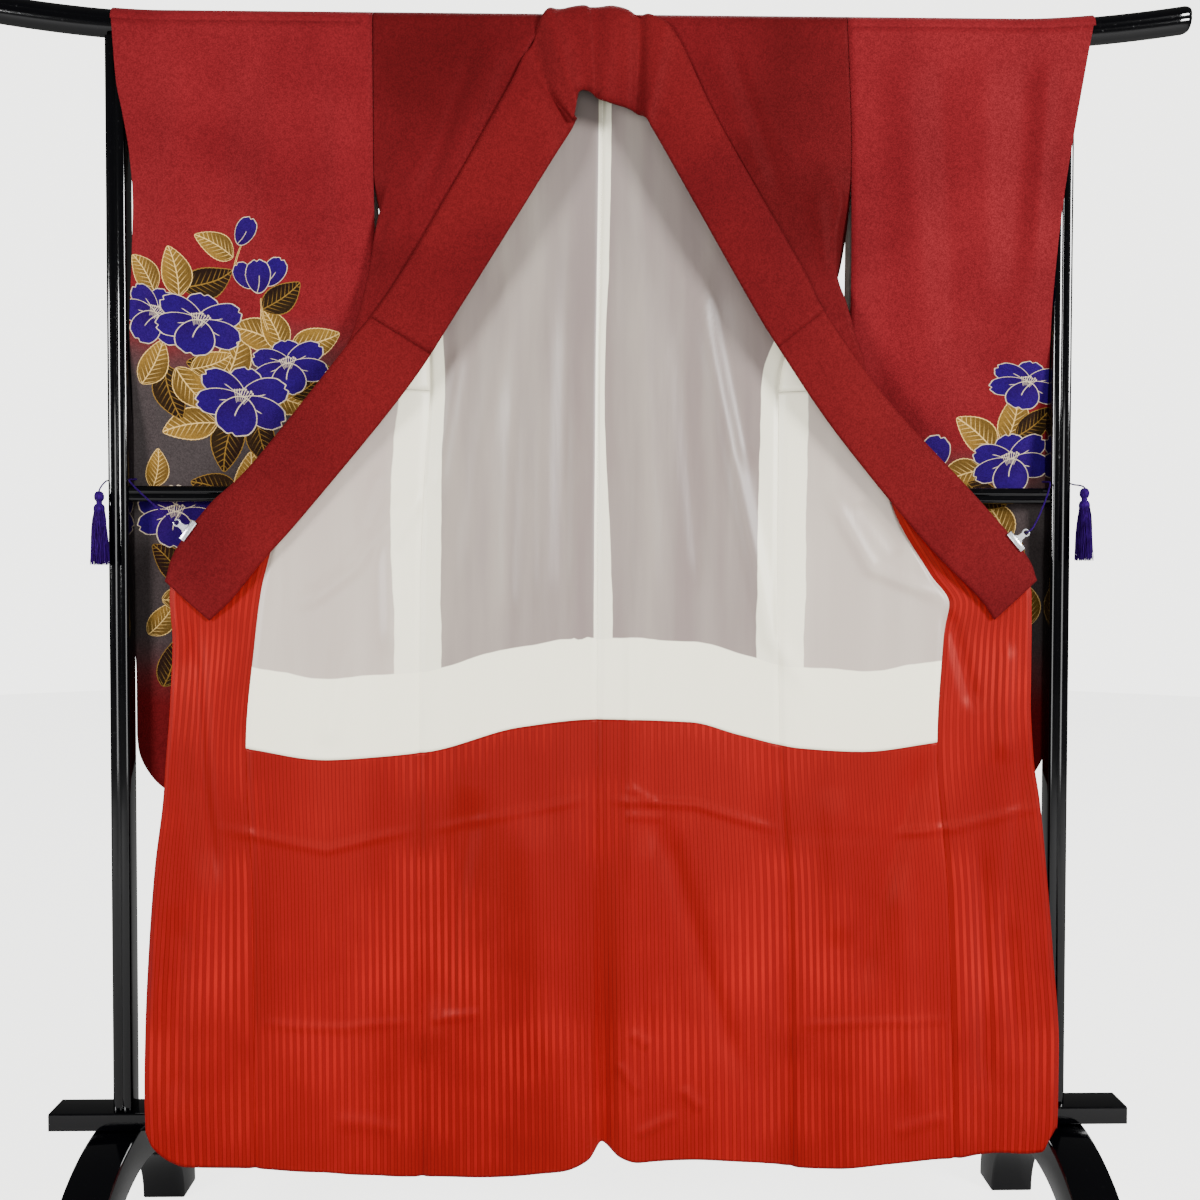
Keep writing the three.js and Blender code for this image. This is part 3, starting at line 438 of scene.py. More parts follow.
RIGHT = Half(
    "right", 1, 45,
    table(
        "z x",
        (1746, 350), (1554, 357), (1485, 355), (1442, 352), (1390, 344), (1343, 312), (1300, 281),
        (1252, 263), (1225, 260), (1101, 258), (935, 257), (727, 260), (519, 271), (140, 276),
    ),
    table(
        "z x",
        (1290, 363), (1225, 381), (1174, 389), (1110, 402), (1062, 414), (970, 465), (931, 490),
        (880, 482), (740, 474), (522, 490), (140, 501),
    ),
    table(
        "z x",
        (1290, 372), (1225, 387), (1210, 396), (1140, 450), (1081, 512), (1028, 560), (1000, 581),
        (966, 597), (940, 600), (799, 599), (717, 605), (662, 613), (556, 624), (455, 633),
        (316, 643), (238, 643), (140, 638),
    ),
    table(
        "z ay fx fy cx cy turn",
        (1727, -19.6, 235, -19.6, 81, -19.6, 0), (1690, -19.8, 245, -21, 121, -21.5, 0),
        (1615, -20, 272, -23, 158, -24, 0), (1554, -20, 302, -25, 191, -27, 0),
        (1520, -19, 330, -26.5, 210, -28.5, 4), (1485, -13, 343, -27.5, 230, -30, 8),
        (1442, -3, 336, -29, 254, -32, 12), (1390, 6, 335, -31, 283, -34.5, 18),
        (1343, 2, 349, -33.5, 307, -38, 25), (1300, -1.6, 361, -36, 335, -40, 30),
        (1252, -5, 374, -38.5, 369, -42.5, 60), (1225, -7, 372, -36, 379, -40, 180),
    ),
)


# ---- meshes of cloth
Line = Callable[[float], float]
Depth = Callable[[float, float], float]
Place = Callable[[float, float], Vector]
Texture = Callable[[float, float, Vector], tuple[float, float]]


def add_grid(
    bm: Mesh, across: Sequence[float], along: Sequence[float], place: Place, texture: Texture
) -> list[bmesh.types.BMFace]:
    """Adds a grid whose vertices are placed by a function.

    Args:
        bm: The mesh that takes the grid.
        across: The stations of its columns.
        along: The stations of its rows.
        place: Gives the point, in millimetres, for a column and a row station.
        texture: Gives the cloth coordinates, in metres, for the stations and the point.

    Returns:
        The faces of the grid.
    """
    layer = bm.loops.layers.uv.verify()
    columns, rows = len(across) - 1, len(along) - 1
    made = bmesh.ops.create_grid(bm, x_segments=columns, y_segments=rows, size=0.5)["verts"]
    on_cloth: dict[bmesh.types.BMVert, tuple[float, float]] = {}
    for vert in made:
        u = across[round((vert.co.x + 0.5) * columns)]
        v = along[round((vert.co.y + 0.5) * rows)]
        point = place(u, v)
        on_cloth[vert] = texture(u, v, point)
        vert.co = point * MM
    faces = list({face for vert in made for face in vert.link_faces})
    for face in faces:
        for loop in face.loops:
            loop[layer].uv = on_cloth[loop.vert]
    return faces


def new_object(name: str, bm: Mesh) -> Piece:
    """Turns a bmesh into an object of the scene, shaded smooth, and frees the bmesh."""
    mesh = bpy.data.meshes.new(name)
    for face in bm.faces:
        face.smooth = True
    bm.to_mesh(mesh)
    bm.free()
    made = bpy.data.objects.new(name, mesh)
    bpy.context.scene.collection.objects.link(made)
    return made


def dress(
    piece: Piece, slot: str, materials: Sequence[Material], *nodes: str
) -> Piece:
    """Gives a piece its materials, its body and the CAD nodes that it stands for."""
    for material in materials:
        piece.data.materials.append(material)
    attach(piece, "root")
    if nodes:
        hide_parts(*nodes)
    log.info("%s: %d faces", piece.name, len(getattr(piece.data, "polygons", ())))
    return piece


def thicken(piece: Piece, thickness: float, inner_material: int = 0) -> None:
    """Gives a sheet its wall, with another material on the inner face if asked."""
    wall = piece.modifiers.new("Wall", "SOLIDIFY")
    wall.thickness = thickness * MM
    wall.offset = 0
    wall.use_even_offset = True
    wall.material_offset = inner_material
    wall.use_quality_normals = True


def turn_full(bm: Mesh, profile: Sequence, count: int) -> None:
    """Spins a profile once round the Z axis in a number of steps."""
    bmesh.ops.spin(
        bm, geom=profile, cent=(0, 0, 0), axis=(0, 0, 1), angle=math.tau, steps=count,
        use_merge=True,
    )


def push(bm: Mesh, faces: Sequence[bmesh.types.BMFace], by: Sequence[float]) -> None:
    """Extrudes faces by a move."""
    swept = bmesh.ops.extrude_face_region(bm, geom=faces)["geom"]
    moved = [item for item in swept if isinstance(item, bmesh.types.BMVert)]
    bmesh.ops.translate(bm, verts=moved, vec=by)


def soften(bm: Mesh, edges: Sequence, radius: float, segments: int) -> None:
    """Rounds edges."""
    bmesh.ops.bevel(
        bm, geom=edges, offset=radius, segments=segments, profile=0.5, affect="EDGES", material=-1
    )


def turn_to_viewer(bm: Mesh) -> None:
    """Merges the rows that two grids share and turns the faces to the open side."""
    bmesh.ops.remove_doubles(bm, verts=bm.verts, dist=MERGE)
    bm.normal_update()
    if sum(face.normal.y * face.calc_area() for face in bm.faces) > 0:
        bmesh.ops.reverse_faces(bm, faces=bm.faces)


# ---- shader wiring
class Wires:
    """Adds nodes to a node tree and links them with few words."""

    def __init__(self, tree: Tree) -> None:
        """Keeps the tree."""
        self.tree = tree

    def node(self, kind: str, settings: dict | None = None, **inputs: object) -> bpy.types.Node:
        """Adds a node.

        Args:
            kind: The node's type name without its ShaderNode prefix.
            settings: Properties to set on it.
            inputs: Sockets or plain values for its inputs, by name with _ for a space.

        Returns:
            The node.
        """
        made = self.tree.nodes.new("ShaderNode" + kind)
        for key, value in (settings or {}).items():
            setattr(made, key, value)
        for key, value in inputs.items():
            self.feed(made.inputs[key.replace("_", " ")], value)
        return made

    def feed(self, socket: Socket, value: object) -> None:
        """Links a socket to an input, or sets the input's own value."""
        if isinstance(value, Socket):
            self.tree.links.new(value, socket)
        else:
            socket.default_value = value

    def math(self, operation: str, *values: object) -> Socket:
        """Adds a Math node on one to three values and returns its result."""
        made = self.node("Math", {"operation": operation})
        for socket, value in zip(made.inputs, values):
            self.feed(socket, value)
        return made.outputs[0]

    def times(self, a: object, b: object) -> Socket:
        """Returns a times b."""
        return self.math("MULTIPLY", a, b)

    def scaled(self, value: object, by: object, lift: object) -> Socket:
        """Returns a value times by, plus lift."""
        return self.math("MULTIPLY_ADD", value, by, lift)

    def size(self, value: object) -> Socket:
        """Returns a value without its sign."""
        return self.math("ABSOLUTE", value)

    def apart(self, vector: object) -> tuple[Socket, Socket]:
        """Returns a vector's X and Y."""
        flat = self.node("SeparateXYZ", None, Vector=vector)
        return flat.outputs["X"], flat.outputs["Y"]

    def step(self, value: object, low: float, high: float) -> Socket:
        """Returns a soft step of a value from 0 at low to 1 at high."""
        ramp = {"From_Min": low, "From_Max": high}
        made = self.node("MapRange", {"interpolation_type": "SMOOTHSTEP"}, Value=value, **ramp)
        return made.outputs["Result"]

    def group(self, tree: Tree, **inputs: object) -> bpy.types.NodeOutputs:
        """Adds a shader group and returns its outputs."""
        return self.node("Group", {"node_tree": tree}, **inputs).outputs

    def emboss(self, normal: Socket, height: object, strength: float, distance: float) -> None:
        """Links a bump to a shader's normal."""
        bump = self.node("Bump", None, Height=height, Strength=strength, Distance=distance)
        self.feed(normal, bump.outputs["Normal"])

    def blend(self, factor: object, a: object, b: object, how: str = "MIX") -> Socket:
        """Returns colour a, changed by colour b by the factor."""
        made = self.node("Mix", {"data_type": "RGBA", "blend_type": how})
        self.feed(made.inputs["Factor"], factor)
        self.feed(made.inputs[6], a)
        self.feed(made.inputs[7], b)
        return made.outputs[2]

    def noise(self, vector: object, scale: object, detail: float = 2.0) -> Socket:
        """Returns a noise value at a scale in cycles for each metre."""
        return self.node("TexNoise", None, Vector=vector, Scale=scale, Detail=detail).outputs[0]


def colour(text: str) -> tuple[float, float, float, float]:
    """Returns the linear colour of an sRGB hex code."""
    parts = [int(text[i : i + 2], 16) / 255 for i in (1, 3, 5)]
    linear = [c / 12.92 if c <= 0.04045 else ((c + 0.055) / 1.055) ** 2.4 for c in parts]
    return (*linear, 1.0)


GROUP_SOCKETS = {
    "Color": "NodeSocketColor", "Fill": "NodeSocketColor", "Line": "NodeSocketColor",
    "Vector": "NodeSocketVector", "Scale": "NodeSocketFloat", "Height": "NodeSocketFloat",
    "Grain": "NodeSocketFloat", "Tone": "NodeSocketFloat",
}


def new_group(name: str, inputs: str, outputs: str) -> tuple[Tree, Wires, dict, dict]:
    """Makes a shader group.

    Args:
        name: The group's name.
        inputs: Names of its inputs.
        outputs: Names of its outputs.

    Returns:
        The tree, its wires, its input sockets and its output sockets by name.
    """
    tree = bpy.data.node_groups.new(name, "ShaderNodeTree")
    for way, keys in (("INPUT", inputs), ("OUTPUT", outputs)):
        for key in keys.split():
            tree.interface.new_socket(key, in_out=way, socket_type=GROUP_SOCKETS[key])
    source = tree.nodes.new("NodeGroupInput")
    sink = tree.nodes.new("NodeGroupOutput")
    return (
        tree,
        Wires(tree),
        {key: source.outputs[key] for key in inputs.split()},
        {key: sink.inputs[key] for key in outputs.split()},
    )


class Prints:
    """The shader groups that the finishes share: crepe grain, drawn silk and the motifs."""

    def __init__(self) -> None:
        """Builds each group once."""
        self.grain = self.crepe_grain()
        self.drawn = self.drawn_silk()
        self.petal = self.camellia_petal()
        self.crown = self.stamens()
        self.flower = self.camellia()
        self.leaf = self.camellia_leaf()
        self.branch = self.twig()

    @staticmethod
    def crepe_grain() -> Tree:
        """Builds the pebbly surface of twisted-weft crepe as a height and a light grain."""
        tree, w, given, result = new_group("Crepe grain", "Vector Scale", "Height Grain")
        fine = w.noise(given["Vector"], given["Scale"], 3.0)
        broad = w.noise(given["Vector"], w.times(given["Scale"], 0.28))
        pebble = w.node("TexVoronoi", {"feature": "SMOOTH_F1"}, Vector=given["Vector"])
        w.feed(pebble.inputs["Scale"], w.times(given["Scale"], 0.8))
        lifted = w.scaled(pebble.outputs["Distance"], -0.7, fine)
        w.feed(result["Height"], lifted)
        w.feed(result["Grain"], w.scaled(broad, 0.5, lifted))
        return tree

    @staticmethod
    def drawn_silk() -> Tree:
        """Builds the soft upright streaks of thin hanging silk as a height and a tone that follows
        it, with which the finishes paint light and shade on the streaks.
        """
        tree, w, given, result = new_group("Drawn silk", "Vector Scale", "Tone Height")
        upright = w.node("Mapping", None, Vector=given["Vector"], Scale=(1.0, 1.0, 0.09))
        broad = w.noise(upright.outputs[0], given["Scale"])
        fine = w.noise(upright.outputs[0], w.times(given["Scale"], 3.2), 3.0)
        w.feed(result["Tone"], w.scaled(fine, 0.4, broad))
        w.feed(result["Height"], w.scaled(fine, 0.25, broad))
        return tree

    @staticmethod
    def camellia_petal() -> Tree:
        """Builds a petal from its base at X -1 to its notched tip at X 1, painted on a colour."""
        tree, w, given, result = new_group("Camellia petal", "Color Vector Fill Line", "Color")
        x, y = w.apart(given["Vector"])
        across = w.math("DIVIDE", y, w.scaled(x, 0.16, 0.94))
        disc = w.math("SQRT", w.scaled(x, x, w.times(across, across)))
        side = w.size(y)
        notch = w.times(w.step(side, 0.2, 0.0), w.step(x, 0.6, 0.95))
        ruffle = w.times(w.math("PINGPONG", side, 0.24), w.step(x, 0.3, 0.8))
        dented = w.scaled(notch, 0.09, w.scaled(ruffle, -0.14, disc))
        edge = w.math("SUBTRACT", dented, 1.0)
        body = w.step(edge, 0.015, -0.015)
        rim = w.step(w.size(edge), 0.042, 0.016)
        bow = w.scaled(w.times(x, x), -0.3, w.math("ADD", y, 0.12))
        fold = w.times(w.step(w.size(bow), 0.04, 0.018), w.step(x, 0.1, -0.05))
        shade = w.step(w.scaled(y, 0.5, x), -1.0, 0.5)
        deep = w.blend(0.5, given["Fill"], (0.004, 0, 0.03, 1))
        petal = w.blend(shade, deep, given["Fill"])
        inked = w.times(fold, body)
        drawn = w.blend(w.math("MAXIMUM", inked, rim), petal, given["Line"])
        w.feed(result["Color"], w.blend(w.math("MAXIMUM", body, rim), given["Color"], drawn))
        return tree

    @staticmethod
    def stamens() -> Tree:
        """Builds a fan of fine stamens with a dot on each, painted on a colour."""
        tree, w, given, result = new_group("Stamens", "Color Vector Line", "Color")
        x, y = w.apart(given["Vector"])
        spread = w.math("DIVIDE", x, w.scaled(y, 0.45, 0.8))
        count = w.times(spread, 4.0)
        off = w.math("SUBTRACT", w.math("FRACT", count), 0.5)
        picked = w.node("TexWhiteNoise", {"noise_dimensions": "1D"}, W=w.math("FLOOR", count))
        dome = w.times(w.times(spread, spread), -0.45)
        top = w.scaled(picked.outputs["Value"], 0.3, w.math("ADD", dome, 0.6))
        fan = w.step(w.size(spread), 1.02, 0.98)
        past = w.math("SUBTRACT", y, top)
        low = w.step(w.math("ADD", y, w.times(dome, -0.7)), -0.72, -0.6)
        held = w.times(w.step(past, 0.02, -0.02), low)
        thread = w.times(w.step(w.size(off), 0.22, 0.1), held)
        dot = w.scaled(past, past, w.times(w.times(off, off), 0.07))
        marks = w.math("MAXIMUM", thread, w.step(dot, 0.019, 0.008))
        cover = w.times(marks, fan)
        w.feed(result["Color"], w.blend(cover, given["Color"], given["Line"]))
        return tree

    def camellia(self) -> Tree:
        """Builds a six-petalled camellia of radius 1, seen a little from one side."""
        tree, w, given, result = new_group("Camellia", "Color Vector Fill Line", "Color")
        painted = given["Color"]
        for x, y, turn, length, width in (
            (0.02, 0.42, 88, 0.46, 0.4), (-0.42, 0.3, 155, 0.52, 0.36),
            (0.46, 0.32, 28, 0.54, 0.38), (-0.44, -0.12, 196, 0.54, 0.36),
            (0.48, -0.16, -20, 0.54, 0.4), (-0.04, -0.4, -98, 0.52, 0.48),
        ):
            own = self.own_vector(w, given["Vector"], painted, (x, y), turn, (length, width))
            inks = {"Fill": given["Fill"], "Line": given["Line"]}
            painted = w.group(self.petal, Color=painted, Vector=own, **inks)["Color"]
        own = self.own_vector(w, given["Vector"], painted, (0.0, 0.14), -6, (0.24, 0.24))
        crown = w.group(self.crown, Color=painted, Vector=own, Line=given["Line"])
        w.feed(result["Color"], crown["Color"])
        return tree

    @staticmethod
    def own_vector(
        w: Wires, vector: Socket, so_far: Socket, place: tuple[float, float], turn: float,
        reach: tuple[float, float],
    ) -> Socket:
        """Gives a motif its own coordinates.

        Args:
            w: The wires of the tree.
            vector: Coordinates on the cloth.
            so_far: The colour painted so far. Z carries it, so that the motifs are worked out one
                after another.
            place: The motif's centre.
            turn: Its turn in degrees.
            reach: Its half length and half width.

        Returns:
            Coordinates in which the motif runs from -1 to 1.
        """
        x, y = w.apart(vector)
        at = w.node("CombineXYZ", None, X=x, Y=y, Z=so_far)
        own = w.node(
            "Mapping", {"vector_type": "TEXTURE"}, Vector=at.outputs[0], Location=(*place, 0),
            Rotation=(0, 0, math.radians(turn)), Scale=(*reach, 1),
        )
        return own.outputs[0]

    @staticmethod
    def twig() -> Tree:
        """Builds a slightly bowed twig from -1 to 1 along X, painted on a colour."""
        tree, w, given, result = new_group("Twig", "Color Vector Fill Line", "Color")
        x, y = w.apart(given["Vector"])
        bowed = w.scaled(w.times(x, x), 1.6, y)
        away = w.size(bowed)
        within = w.step(w.size(x), 1.0, 0.96)
        half = w.scaled(x, -0.3, 0.8)
        body = w.times(w.step(w.math("SUBTRACT", away, half), 0.1, -0.1), within)
        pith = w.step(w.math("SUBTRACT", away, w.times(half, 0.5)), 0.08, -0.08)
        drawn = w.blend(pith, given["Line"], given["Fill"])
        w.feed(result["Color"], w.blend(body, given["Color"], drawn))
        return tree

    @staticmethod
    def camellia_leaf() -> Tree:
        """Builds a pointed, toothed leaf from -1 to 1 along X, painted on a colour."""
        tree, w, given, result = new_group("Camellia leaf", "Color Vector Fill Line", "Color")
        x, y = w.apart(given["Vector"])
        bent = w.math("SUBTRACT", y, w.times(w.times(x, x), 0.12))
        away = w.size(bent)
        room = w.math("MAXIMUM", w.math("SUBTRACT", 1.0, w.times(x, x)), 0.0)
        swell = w.scaled(x, -0.16, 0.56)
        half = w.times(w.math("POWER", room, 0.8), swell)
        tooth = w.math("PINGPONG", w.times(x, 7.0), 0.5)
        edge = w.math("SUBTRACT", away, w.scaled(tooth, 0.03, half))
        within = w.step(room, 0.0, 0.02)
        body = w.times(w.step(edge, 0.01, -0.01), within)
        rim = w.times(w.step(w.size(edge), 0.028, 0.009), within)
        rib = w.step(away, 0.03, 0.012)
        slanted = w.math("SUBTRACT", w.times(x, 4.6), w.times(away, 4.2))
        vein = w.size(w.math("SUBTRACT", w.math("FRACT", slanted), 0.5))
        veins = w.times(w.step(vein, 0.13, 0.04), w.step(away, 0.5, 0.1))
        lines = w.math("MAXIMUM", w.math("MAXIMUM", rib, rim), w.times(veins, 0.7))
        lit = w.times(w.step(w.scaled(x, 0.5, bent), 0.7, -0.5), 0.75)
        blade = w.blend(lit, given["Fill"], w.blend(0.75, given["Fill"], (0.012, 0.009, 0.003, 1)))
        drawn = w.blend(lines, blade, given["Line"])
        w.feed(result["Color"], w.blend(w.math("MAXIMUM", body, rim), given["Color"], drawn))
        return tree


class Motif(Enum):
    """What a place in the printed design holds."""

    GOLD_LEAF = "gold leaf"
    DARK_LEAF = "dark leaf"
    FLOWER = "flower"
    BUD = "bud"
    TWIG = "twig"


@dataclass(frozen=True)
class Spot:
    """One motif of the design: where it sits on the cloth, its reach, its turn and its squash."""

    motif: Motif
    x: float
    z: float
    reach: float
    turn: float
    squash: float = 1.0


def spots(*rows: tuple) -> tuple[Spot, ...]:
    """Makes a motif of each row: what, place across, height, reach, turn and squash."""
    return tuple(Spot(*row) for row in rows)


GOLD, DARK, FLOWER = Motif.GOLD_LEAF, Motif.DARK_LEAF, Motif.FLOWER
BUD, TWIG = Motif.BUD, Motif.TWIG
MAIN_DESIGN = spots(
    (TWIG, -588, 880, 60, 62, 0.045), (TWIG, -520, 1040, 90, 70, 0.03),
    (TWIG, -488, 1412, 26, 68, 0.06), (DARK, -594, 842, 34, 75), (GOLD, -606, 905, 30, 50),
    (GOLD, -578, 935, 30, 10), (DARK, -596, 988, 34, 130), (GOLD, -546, 1000, 32, 150),
    (GOLD, -612, 1118, 28, 80), (DARK, -532, 1092, 36, 160), (GOLD, -484, 1104, 38, 80),
    (DARK, -516, 1154, 40, 255), (DARK, -466, 1156, 36, 285), (GOLD, -566, 1180, 38, 190),
    (DARK, -590, 1222, 38, 285), (GOLD, -560, 1226, 36, 310), (GOLD, -608, 1262, 34, 60),
    (DARK, -528, 1256, 38, 160), (GOLD, -498, 1272, 42, 70), (GOLD, -530, 1262, 30, 20),
    (GOLD, -468, 1304, 36, 160), (GOLD, -424, 1212, 34, -20), (DARK, -392, 1236, 34, 40),
    (GOLD, -440, 1310, 32, 115), (GOLD, -384, 1292, 34, 15), (DARK, -428, 1350, 32, 35),
    (DARK, -530, 1372, 36, 20), (GOLD, -572, 1386, 34, 100), (GOLD, -614, 1384, 30, 120),
    (GOLD, -520, 1424, 30, 150), (FLOWER, -606, 1326, 46, -30, 0.94),
    (FLOWER, -588, 1052, 56, 4, 0.86), (FLOWER, -546, 1316, 58, -10, 0.8),
    (TWIG, -456, 1328, 22, 100, 0.07), (BUD, -480, 1380, 20, 125, 0.7),
    (BUD, -438, 1384, 21, 60, 0.7), (BUD, -460, 1378, 22, 92, 0.84),
    (FLOWER, -424, 1258, 52, 8, 0.78), (FLOWER, -492, 1212, 64, -12, 0.82),
    (BUD, -478, 1440, 20, 62, 0.8),
)
SIDE_DESIGN = spots(
    (TWIG, 600, 990, 60, 110, 0.045), (GOLD, 622, 930, 34, 100), (DARK, 600, 985, 34, 60),
    (GOLD, 580, 1050, 36, 120), (GOLD, 524, 1112, 38, 200), (DARK, 562, 1082, 32, 330),
    (GOLD, 548, 1172, 38, 140), (GOLD, 598, 1192, 36, 80), (DARK, 628, 1184, 32, 40),
    (BUD, 486, 1142, 26, 70, 0.86), (FLOWER, 612, 1238, 52, -8, 0.7),
    (FLOWER, 596, 1130, 54, 10, 0.84),
)


# ---- finishes
@dataclass(frozen=True)
class Crepe:
    """Deep red silk crepe, plain or with the printed design shaded to charcoal behind it."""

    red: str = "#4E0E12"
    bright: str = "#5D1418"
    charcoal: str = "#2D2B2B"
    wine: str = "#4A090C"
    indigo: str = "#110047"
    chalk: str = "#A2947C"
    gold: str = "#6A5020"
    pale_gold: str = "#B4955A"
    olive: str = "#0D0C08"
    grain_scale: float = 620.0

    def build(
        self, name: str, prints: Prints, design: Sequence[Spot] = (), shaded: tuple = ()
    ) -> Material:
        """Builds the material.

        Args:
            name: The material's name.
            prints: The shared shader groups.
            design: The motifs, in the order in which they are printed.
            shaded: Heights, in metres, where the red ends, the charcoal is full, the charcoal
                ends and the wine red is full.

        Returns:
            The material.
        """
        material, w, surface = new_material(
            name, Sheen_Weight=0.015, Sheen_Roughness=0.5, Sheen_Tint=(1.0, 0.2, 0.2, 1.0),
            Specular_IOR_Level=0.08, Specular_Tint=(1.0, 0.25, 0.25, 1.0),
        )
        place = w.node("TexCoord").outputs["Object"]
        grain = w.group(prints.grain, Vector=place, Scale=self.grain_scale)
        tone = w.noise(place, 5.0, 3.0)
        base = w.blend(w.step(tone, 0.3, 0.7), colour(self.red), colour(self.bright))
        if shaded:
            on_cloth = w.node("UVMap").outputs["UV"]
            waved = w.scaled(w.noise(on_cloth, 9.0, 2.0), 0.09, w.apart(on_cloth)[1])
            red_end, dark_start, dark_end, wine_start = (h + 0.045 for h in shaded)
            base = w.blend(w.step(waved, red_end, dark_start), base, colour(self.charcoal))
            base = w.blend(w.step(waved, dark_end, wine_start), base, colour(self.wine))
            base = self.printed(w, on_cloth, base, prints, design)
        speckle = w.step(grain["Grain"], 0.1, 0.85)
        light = w.blend(speckle, (0.72, 0.72, 0.72, 1), (1.16, 1.16, 1.16, 1))
        w.feed(surface["Base Color"], w.blend(1.0, base, light, "MULTIPLY"))
        w.emboss(surface["Normal"], grain["Height"], 0.35, 0.0006)
        w.feed(surface["Roughness"], w.scaled(speckle, -0.18, 0.74))
        return material

    def printed(
        self, w: Wires, on_cloth: Socket, base: Socket, prints: Prints, design: Sequence[Spot]
    ) -> Socket:
        """Paints the motifs of a design on a colour and returns the result."""
        inks = {
            GOLD: (prints.leaf, self.gold, self.pale_gold),
            DARK: (prints.leaf, self.olive, self.gold),
            FLOWER: (prints.flower, self.indigo, self.chalk),
            BUD: (prints.petal, self.indigo, self.chalk),
            TWIG: (prints.branch, self.gold, self.pale_gold),
        }
        for spot in design:
            group, fill, line = inks[spot.motif]
            own = prints.own_vector(
                w, on_cloth, base, (spot.x * MM, spot.z * MM), spot.turn,
                (spot.reach * MM, spot.reach * spot.squash * MM),
            )
            ink = {"Fill": colour(fill), "Line": colour(line)}
            base = w.group(group, Color=base, Vector=own, **ink)["Color"]
        return base


@dataclass(frozen=True)
class PlainLining:
    """Thin white silk through which the red crepe shows a little, whiter where it lies double, with
    painted light and shade on its streaks and by height.
    """

    single: str = "#675955"
    upper: str = "#6F6460"
    double: str = "#EBE7CD"
    turning: float = 0.03  # seam allowance at each side
    hem_band: float = 0.112  # height of the doubled band above the lower edge

    def build(self, name: str, prints: Prints) -> Material:
        """Builds the material, which reads the cloth's own coordinates."""
        material, w, surface = new_material(name, Specular_IOR_Level=0.4)
        on_cloth = w.node("UVMap").outputs["UV"]
        place = w.node("TexCoord").outputs["Object"]
        across, height = w.apart(on_cloth)
        wander = w.scaled(w.noise(on_cloth, 14.0), 0.008, -0.004)
        side = w.math("ADD", w.size(across), wander)
        up = w.math("ADD", height, wander)
        turning = w.step(side, self.turning + 0.001, self.turning - 0.001)
        band = w.times(w.step(up, self.hem_band + 0.001, self.hem_band - 0.001), 0.86)
        doubled = w.math("MAXIMUM", w.times(turning, 0.74), band)
        drawn = w.group(prints.drawn, Vector=place, Scale=11.0)
        # Painted light: the streaks' tone turns the silk whiter where they stand high.
        streak_painted_light = w.times(w.step(drawn["Tone"], 0.5, 0.95), 0.11)
        # Painted light and shade: the single layer blends from its lower colour to its upper colour
        # with height.
        thin = w.blend(w.step(up, 0.25, 0.8), colour(self.single), colour(self.upper))
        base = w.blend(w.math("MAXIMUM", doubled, streak_painted_light), thin, colour(self.double))
        w.feed(surface["Base Color"], base)
        weave = w.noise(place, 900.0, 1.0)
        w.emboss(surface["Normal"], w.scaled(drawn["Height"], 9.0, w.times(weave, 0.1)), 0.4, 0.001)
        w.feed(surface["Roughness"], w.scaled(drawn["Tone"], 0.12, 0.34))
        return material


@dataclass(frozen=True)
class StripedSatin:
    """Bright red hem lining with fine woven stripes, matt and satin by turns, with painted sheen
    and painted dark lines on the stripes.
    """

    matt: str = "#6B0D0D"
    streak_shade: str = "#5D0A0B"
    painted_sheen: str = "#8E1410"
    dark: str = "#3F0707"
    period: float = 0.0098

    def build(self, name: str, prints: Prints) -> Material:
        """Builds the material, whose stripes run up the cloth's own coordinates."""
        material, w, surface = new_material(
            name, Specular_IOR_Level=0.2, Specular_Tint=(1.0, 0.2, 0.15, 1.0)
        )
        on_cloth = w.node("UVMap").outputs["UV"]
        drawn = w.group(prints.drawn, Vector=w.node("TexCoord").outputs["Object"], Scale=7.0)
        ridge = w.math("PINGPONG", w.math("DIVIDE", w.apart(on_cloth)[0], self.period), 0.5)
        stripe = w.step(ridge, 0.2, 0.3)
        edge_line = w.step(w.size(w.math("SUBTRACT", ridge, 0.25)), 0.06, 0.01)
        # Painted sheen: the stripes are painted shining in patches placed by noise, and elsewhere
        # show only as thin lines painted dark, darkest away from the sheen.
        strength = w.step(w.noise(on_cloth, 3.4, 3.0), 0.42, 0.68)
        lit = w.times(w.times(stripe, strength), 0.85)
        # Painted shade: the satin is darker in the low parts of the streaks.
        base = w.blend(w.step(drawn["Tone"], 0.4, 1.0), colour(self.streak_shade), colour(self.matt))
        base = w.blend(lit, base, colour(self.painted_sheen))
        lined = w.scaled(strength, -0.5, 0.75)
        base = w.blend(w.times(edge_line, lined), base, colour(self.dark))
        w.feed(surface["Base Color"], base)
        height = w.scaled(drawn["Height"], 8.0, w.times(stripe, 0.2))
        w.emboss(surface["Normal"], height, 0.4, 0.001)
        w.feed(surface["Roughness"], w.scaled(lit, -0.14, 0.42))
        return material


@dataclass(frozen=True)
class Lacquer:
    """Black gloss lacquer over wood, with a faint orange-peel and a trace of dust."""

    black: str = "#010102"

    def build(self, name: str) -> Material:
        """Builds the material."""
        material, w, surface = new_material(name, Specular_IOR_Level=0.45)
        place = w.node("TexCoord").outputs["Object"]
        dust = w.step(w.noise(place, 240.0, 4.0), 0.62, 0.8)
        veil = w.times(dust, 0.05)
        w.feed(surface["Base Color"], w.blend(veil, colour(self.black), colour("#2A2A2D")))
        w.emboss(surface["Normal"], w.noise(place, 60.0, 1.0), 0.06, 0.0006)
        w.feed(surface["Roughness"], w.scaled(dust, 0.14, 0.09))
        return material


